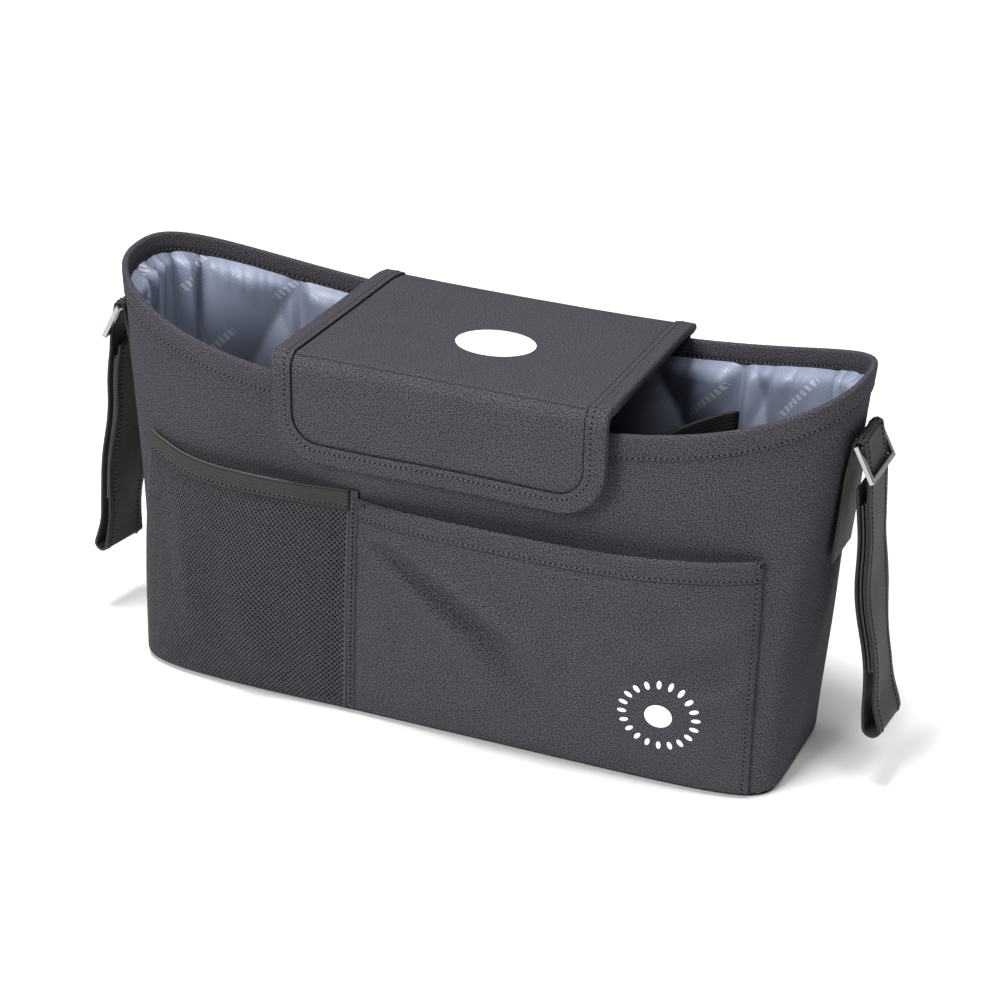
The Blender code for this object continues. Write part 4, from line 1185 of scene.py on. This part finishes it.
# %% Lid binding
def lid_edge():
    """The free edge as (x, c, inward x, inward c), from the rear left to the rear right."""
    corner_x, corner_c = LID_HALF_WIDTH - FLAP_CORNER, LID_LENGTH - FLAP_CORNER
    straight = [*np.linspace(0.0005, ROLL_LENGTH, 5), *np.linspace(ROLL_LENGTH, TOP_LENGTH, 40)[1:],
                *np.linspace(TOP_LENGTH, corner_c, 24)[1:]]
    edge = [(-LID_HALF_WIDTH, c, 1.0, 0.0) for c in straight]
    for angle in np.linspace(0.0, pi / 2, 16)[1:]:
        edge.append((-corner_x - FLAP_CORNER * cos(angle), corner_c + FLAP_CORNER * sin(angle),
                     cos(angle), -sin(angle)))
    middle = [(x, LID_LENGTH, 0.0, -1.0) for x in np.linspace(-corner_x, corner_x, 42)[1:-1]]
    other = [(-x, c, -inward_x, inward_c) for x, c, inward_x, inward_c in reversed(edge)]
    return np.array(edge + middle + other)


EDGE = lid_edge()
LID_THICKNESS = LINING_TOP + LID_LINING
STITCH_IN = 0.0066
binding_section = [(BINDING_WIDTH, -0.0001), (BINDING_WIDTH - 0.0005, -0.0004),
                   (STITCH_IN + 0.0007, -0.0005), (STITCH_IN, -0.0004), (STITCH_IN - 0.0007, -0.0005),
                   (0.0030, -0.0005), (0.0012, -0.0003)]
for angle in np.linspace(0.25, pi - 0.25, 7):
    middle, half = (LID_THICKNESS + 0.0002) / 2, (LID_THICKNESS + 0.0012) / 2
    binding_section.append((0.0005 - 0.0010 * sin(angle), middle - half * cos(angle)))
binding_section += [(0.0030, LID_THICKNESS + 0.0009), (BINDING_WIDTH - 0.001, LID_THICKNESS + 0.0009)]
binding_section = np.array(binding_section)
binding_length = path_length(binding_section)
# Painted shade in the gap along the binding's inner edge, and along its stitch row.
binding_canvas = make_canvas("binding_canvas", creases=[("Y", 0.0001, 0.0007, 0.10),
                                                        ("Y", float(binding_length[3]), 0.0006, 0.75)])


def binding_place(k, step):
    x, c, inward_x, inward_c = EDGE[np.rint(k).astype(int)].T
    reach, depth = binding_section[np.rint(step).astype(int)].T
    place = np.clip(c + inward_c * reach, 0.0, LID_LENGTH + 0.002)
    return lid_point(x + inward_x * reach, place, depth)


binding = lay_cloth("lid_binding_cloth", range(len(EDGE))[::-1], range(len(binding_section)),
                    binding_place, binding_canvas, 0.0005, offset=1.0, rise=binding_length)
wear(binding, "lid", "canvas_trim", "lid_binding")


# %% Lid print
BADGE_RADIUS = 0.0205
BADGE_REACH, BADGE_SHIFT = 0.0826, 0.0055


def make_badge():
    work = bmesh.new()
    flat_disc(work, BADGE_RADIUS, 72)
    bmesh.ops.triangulate(work, faces=work.faces)
    bmesh.ops.subdivide_edges(work, edges=work.edges, cuts=3, use_grid_fill=True)
    flat = points_of(work)
    reach = ROLL_LENGTH + BADGE_REACH - flat[:, 1]
    move_to(work, lid_point(flat[:, 0] + BADGE_SHIFT, reach, -(INK + 0.0001)))
    return thicken(new_object("lid_print_ink", work, print_ink), INK)


badge = make_badge()
wear(badge, "lid", "white_print", "lid_badge")

# %% [markdown]
# ## Hinge strip and closure
# The lid is held by a canvas strip sewn to the outside of the back. It crosses from the bag to
# the lid. The hook-and-loop tapes under the flap keep their solids and only get a finish.

# %% Hinge strip
STRIP_HALF_WIDTH, STRIP_WIDENING = 0.0740, 0.0105
STRIP_LOW, STRIP_CLIMB, STRIP_OUT = 0.156, 0.0195, 0.0024
STRIP_END_Y, STRIP_END_Z = 0.0819, 0.1862
CLIMB_STEPS, CROSSING_STEPS = 10, 8


def strip_line(u, step):
    """Up the back canvas, clear of the rim, and in under the lid's rear roll, where it is widest."""
    x = REAR_SHIFT + (STRIP_HALF_WIDTH + STRIP_WIDENING * np.clip((step - 7) / 6, 0.0, 1.0)) * u
    climb = STRIP_LOW + STRIP_CLIMB * np.clip(step / CLIMB_STEPS, 0, 1)
    low = above(back_position(x, STRIP_LOW), climb, STRIP_OUT)
    low[:, 0] = x
    end = np.stack([x, np.full_like(x, STRIP_END_Y), np.full_like(x, STRIP_END_Z)], axis=1)
    share = np.clip((step - CLIMB_STEPS) / CROSSING_STEPS, 0.0, 1.0)
    return low + (end - low) * share[:, None]


strip = lay_cloth("hinge_strip_canvas", np.linspace(1, -1, 49), range(CLIMB_STEPS + CROSSING_STEPS + 1),
                  strip_line, canvas, 0.0009, offset=0.0)
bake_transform(strip)
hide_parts("lid_hinge_strip")
finish_node("front_loop_tape", fuzzy_loops)
finish_node("lid_hook_tape", hook_plastic)

# %% [markdown]
# ## Straps
# Each strap is one webbing: sewn flat to the bag's end, up over the ring's top bar, down behind
# its lower bar, and back up on itself from a small loop at the bottom, where hook-and-loop tape
# holds it. Its side view is a line of points that a smooth curve runs through. The left one
# hangs a little twisted.

# %% Strap line
STRAP_WIDTH, STRAP_CLOTH, STRAP_Y = 0.0300, 0.0014, 0.0040
RING_WIRE, RING_HEIGHT = 0.0026, 0.0205
RING_TILT, RING_TOP_Z = radians(27.0), 0.1838
STRAP_BOTTOM = {"left": 0.0380, "right": 0.0300}
STRAP_FLARE, STRAP_WAVE = 0.0130, 0.0006
LOOP_RADIUS = {"left": 0.0036, "right": 0.0042}
TAPE, LOOP_TAPE_WIDTH, HOOK_TAPE_WIDTH = 0.0011, 0.0240, 0.0270
GAP = 0.0005


def wall_end(z):
    return above(np.array([float(STATIONS)]), np.array([z]))[0, 0]


def strap_side_view(bottom, radius):
    """The right strap's line, and the line between its two layers."""
    half = STRAP_CLOTH / 2
    bar = RING_WIRE / 2 + GAP + half
    top = np.array([wall_end(RING_TOP_Z) + GAP + bar + half + 0.0012, RING_TOP_Z])
    low = top + np.array([sin(RING_TILT), -cos(RING_TILT)]) * (RING_HEIGHT - RING_WIRE)
    sewn = [(wall_end(z) + GAP + half, z) for z in np.linspace(0.120, 0.168, 8)]
    over = [(top[0] + bar * cos(a), top[1] + bar * sin(a)) for a in np.radians(np.linspace(180, 5, 9))]
    behind = (low[0] - bar, low[1])
    drop = low[1] - bottom - radius
    apart = 2 * TAPE + 3 * GAP + STRAP_CLOTH

    def hang(z):
        down = (low[1] - z) / drop
        calm = np.clip(down / 0.2, 0.0, 1.0) * np.clip((1.0 - down) / 0.15, 0.0, 1.0)
        return behind[0] + STRAP_FLARE * down ** 1.35 + STRAP_WAVE * np.sin(9.0 * down + 0.4) * calm

    heights = [low[1] - drop * k / 9 for k in range(1, 9)]
    outer = [(hang(z), z) for z in heights]
    inner = [(hang(z) - apart, z) for z in heights]
    centre = (hang(bottom + radius) - apart / 2 + 0.001, bottom + radius)
    loop = [(centre[0] + radius * cos(a), centre[1] + radius * sin(a))
            for a in np.radians([10, -30, -70, -110, -150, -190])]
    end = (behind[0] - apart + 0.0004, low[1] - 0.006)
    line = [*sewn, *over, behind, *outer, *loop, *inner[::-1], end]
    between = [(hang(z) - apart / 2, z) for z in heights[:-1]]
    return np.array(line), np.array(between)


STRAP_STEP = 0.0016


def smooth_line(points):
    """A Catmull-Rom curve through the points, with points at even steps."""
    padded = np.vstack([2 * points[0] - points[1], points, 2 * points[-1] - points[-2]])
    fine = []
    for a, b, c, d in zip(padded, padded[1:], padded[2:], padded[3:]):
        for t in np.linspace(0, 1, 12, endpoint=False):
            fine.append(0.5 * (2 * b + (c - a) * t + (2 * a - 5 * b + 4 * c - d) * t ** 2
                               + (3 * b - a - 3 * c + d) * t ** 3))
    fine = np.array([*fine, points[-1]])
    length = path_length(fine)
    even = np.linspace(0.0, length[-1], max(int(length[-1] / STRAP_STEP), 8))
    return np.stack([np.interp(even, length, fine[:, axis]) for axis in (0, 1)], axis=1)


# %% Strap pieces
SIDES = {"left": -1, "right": 1}
TWIST = {"left": radians(9.0), "right": 0.0}
RIPPLE = {"left": radians(5.0), "right": radians(3.5)}
STRAP_EDGES = [-1.0, -0.97, -0.9, -0.6, -0.2, 0.2, 0.6, 0.9, 0.97, 1.0]


def to_side(line, across, side):
    """Points of a side-view line, moved across the strap and to their side.

    The hanging part is turned about an upright line."""
    spots = np.stack([line[:, 0], np.broadcast_to(across, len(line)), line[:, 1]], axis=1)
    spots = spots + np.array([0.0, STRAP_Y, 0.0])
    pivot = np.array([wall_end(RING_TOP_Z) + 0.015, STRAP_Y])
    hangs = spots[:, 0] > np.array([wall_end(min(z, END_HEIGHT)) for z in spots[:, 2]]) + 0.004
    turned = TWIST[side] + RIPPLE[side] * np.sin(95.0 * spots[:, 2] + SIDES[side])
    angle = np.where(hangs, turned * np.clip((0.160 - spots[:, 2]) / 0.04, 0.0, 1.0), 0.0)
    away = spots[:, :2] - pivot
    spots[:, 0] = pivot[0] + away[:, 0] * np.cos(angle) - away[:, 1] * np.sin(angle)
    spots[:, 1] = pivot[1] + away[:, 0] * np.sin(angle) + away[:, 1] * np.cos(angle)
    spots[:, 0] *= SIDES[side]
    return spots


def beside_line(line, shift):
    """The line moved sideways in the side view."""
    forward = np.gradient(line, axis=0)
    forward /= np.linalg.norm(forward, axis=1, keepdims=True)
    return line + np.stack([forward[:, 1], -forward[:, 0]], axis=1) * shift


def make_ribbon(name, line, width, shift, side, material, thickness):
    """A flat band across a side-view line, shifted beside it."""
    middle = beside_line(smooth_line(line), shift)

    def place(edge, k):
        return to_side(middle[np.rint(k).astype(int)], edge * width / 2, side)

    return lay_cloth(name, STRAP_EDGES[::SIDES[side]], range(len(middle)), place, material, thickness,
                     0.0)


STRAP_LINES = {}
for side in SIDES:
    strap_line, tape_line = strap_side_view(STRAP_BOTTOM[side], LOOP_RADIUS[side])
    STRAP_LINES[side] = strap_line
    strap = make_ribbon(f"{side}_webbing", strap_line, STRAP_WIDTH, 0.0, side, webbing, STRAP_CLOTH)
    wear(strap, "bag", "dark_webbing", f"{side}_strap")
    near = GAP / 2 + TAPE / 2
    loops = make_ribbon(f"{side}_loops", tape_line, LOOP_TAPE_WIDTH, -near, side, fuzzy_loops, TAPE)
    wear(loops, "bag", "loop_tape", f"{side}_loop_tape")
    hooks = make_ribbon(f"{side}_hooks", tape_line, HOOK_TAPE_WIDTH, near, side, hook_plastic, TAPE)
    wear(hooks, "bag", "hook_tape", f"{side}_hook_tape")
    finish_node(f"{side}_ring", nickel)

# %% [markdown]
# ## Stitching
# Seams read as seams only when the thread is there. Each stitch is a small stretched sphere,
# sunk halfway into its groove, and a run of them follows a line of points with the cloth's
# outward direction beside it. Between each two stitches a flat dark ball is painted shade for the
# needle hole. Short close runs, the bar tacks, hold the two ends of the slip pocket's mouth.


# %% Stitches
STITCH_PITCH, STRAP_PITCH, TACK_PITCH = 0.0027, 0.0026, 0.0011
TACK_TOP = 0.985


def unit(vectors):
    return vectors / np.linalg.norm(vectors, axis=1, keepdims=True)


def stitch_run(spots, outward, pitch=STITCH_PITCH):
    """The places of one seam's stitches: middles, directions along the seam, and outwards."""
    reach = path_length(spots)
    count = int(reach[-1] / pitch)
    middles = (np.arange(count) + 0.5) * reach[-1] / count

    def at(values, places):
        return np.stack([np.interp(places, reach, values[:, axis]) for axis in range(3)], axis=1)

    along = unit(at(spots, middles + 0.0003) - at(spots, middles - 0.0003))
    side = unit(np.cross(at(outward, middles), along))
    return at(spots, middles), along, side, np.cross(along, side), reach[-1] / count


def small_ball():
    """A ball's points and faces: a pole, three rings of six points, and the other pole."""
    points = [(0.0, 0.0, 1.0)]
    for tilt in (pi / 4, pi / 2, 3 * pi / 4):
        for turn in pi / 2 + np.arange(6) * pi / 3:
            points.append((sin(tilt) * cos(turn), sin(tilt) * sin(turn), cos(tilt)))
    points.append((0.0, 0.0, -1.0))
    faces = []
    for k in range(6):
        after = (k + 1) % 6
        faces += [(0, 1 + k, 1 + after), (19, 13 + after, 13 + k)]
        faces += [(ring + k, ring + 6 + k, ring + 6 + after, ring + after) for ring in (1, 7)]
    return np.array(points), faces


def make_stitches(name, runs, material, length, width, shift=0.0, lift=0.0):
    """One small ball for each stitch, stretched into its place."""
    frames = np.concatenate([
        np.stack([along * length / 2, side * width / 2, away * width / 2,
                  middle + along * pitch * shift + away * lift], axis=2)
        for middle, along, side, away, pitch in runs])
    ball, ball_faces = small_ball()
    spots = np.einsum("nij,vj->nvi", frames[:, :, :3], ball) + frames[:, None, :, 3]
    faces = [[len(ball) * k + corner for corner in face]
             for k in range(len(frames)) for face in ball_faces]
    balls = bpy.data.meshes.new("balls")
    balls.from_pydata(spots.reshape(-1, 3), [], faces)
    work = bmesh.new()
    work.from_mesh(balls)
    bpy.data.meshes.remove(balls)
    print(name, len(frames))
    return new_object(name, work, material)


def sew(part, slot, runs, body=None):
    """Thread on the seams, and painted shade for the needle hole between each two stitches."""
    body = body or part
    stitches = make_stitches(f"{part}_stitching", runs, thread, 0.0016, 0.00060, 0.0, 0.00006)
    wear(stitches, body, slot)
    # Painted shade for each needle hole.
    holes = make_stitches(f"{part}_painted_hole_shades", runs, painted_hole_shade, 0.0013, 0.00090, 0.5, -0.00008)
    wear(holes, body, slot)


def wall_line(q, z, out):
    """Points along the wall with their outward directions."""
    spots = above(q, z, out)
    away = above(q, z, out + 0.01) - spots
    return spots, away


def pocket_seam(u, share, sink=-0.0001, pitch=STITCH_PITCH):
    """Stitches through the slip pocket's cloth along shares of its width and height."""
    spots = pocket_place(u, share, sink)
    return stitch_run(spots, pocket_place(u, share, 0.01) - spots, pitch)


around = np.linspace(0.0, TURN, 900)
rim_top = wall(around, 1.0)[:, 2]
inside, away = wall_line(around, rim_top - INNER_SETBACK, RIM_IN + 0.00010)
bag_runs = [stitch_run(*wall_line(around, rim_top - STITCH_SETBACK, RIM_OUT - 0.00020)),
            stitch_run(inside, -away),
            pocket_seam(np.linspace(0.005, 0.978, 300), HEM_STITCH),
            pocket_seam(SIDE_STITCH, np.linspace(0.01, 0.99, 160))]

u = np.linspace(0.01, 0.99, 200)
z = net_top(u) - NET_ELASTIC_HEIGHT * (1 - BAND_STITCH)
away = net_place(u, z, 0.03) - net_place(u, z, 0.02)
bag_runs.append(stitch_run(net_band_place(u, BAND_STITCH) + unit(away) * 0.0013, away))

z = np.linspace(PANEL_FOOT + 0.003, NET_TOP, 200)
spots = strip_place(0.55, z)
away = spots - above(front_position(seam_x(z), z), z)
bag_runs.append(stitch_run(spots + unit(away) * 0.0003, away))

for u_tack in (0.012, 0.985):
    for drop in (0.0, 0.006, 0.012):
        across = np.linspace(u_tack - 0.008, u_tack + 0.008, 12)
        bag_runs.append(pocket_seam(across, TACK_TOP - drop, 0.0001, TACK_PITCH))
sew("bag", "charcoal_canvas", bag_runs)

strap_runs = []
for side in SIDES:
    line = smooth_line(STRAP_LINES[side])
    face = beside_line(line, -STRAP_CLOTH / 2 - 0.0001)
    far = beside_line(line, -STRAP_CLOTH / 2 - 0.0030)
    for across in (-0.0113, 0.0113):
        spots = to_side(face, across, side)
        strap_runs.append(stitch_run(spots, to_side(far, across, side) - spots, STRAP_PITCH))
sew("strap", "dark_webbing", strap_runs, "bag")

inset = EDGE[2:-2, :2] + EDGE[2:-2, 2:] * STITCH_IN
top = lid_point(inset[:, 0], inset[:, 1], -0.0009)
sew("lid", "canvas_trim", [stitch_run(top, top - lid_point(inset[:, 0], inset[:, 1], 0.01))])
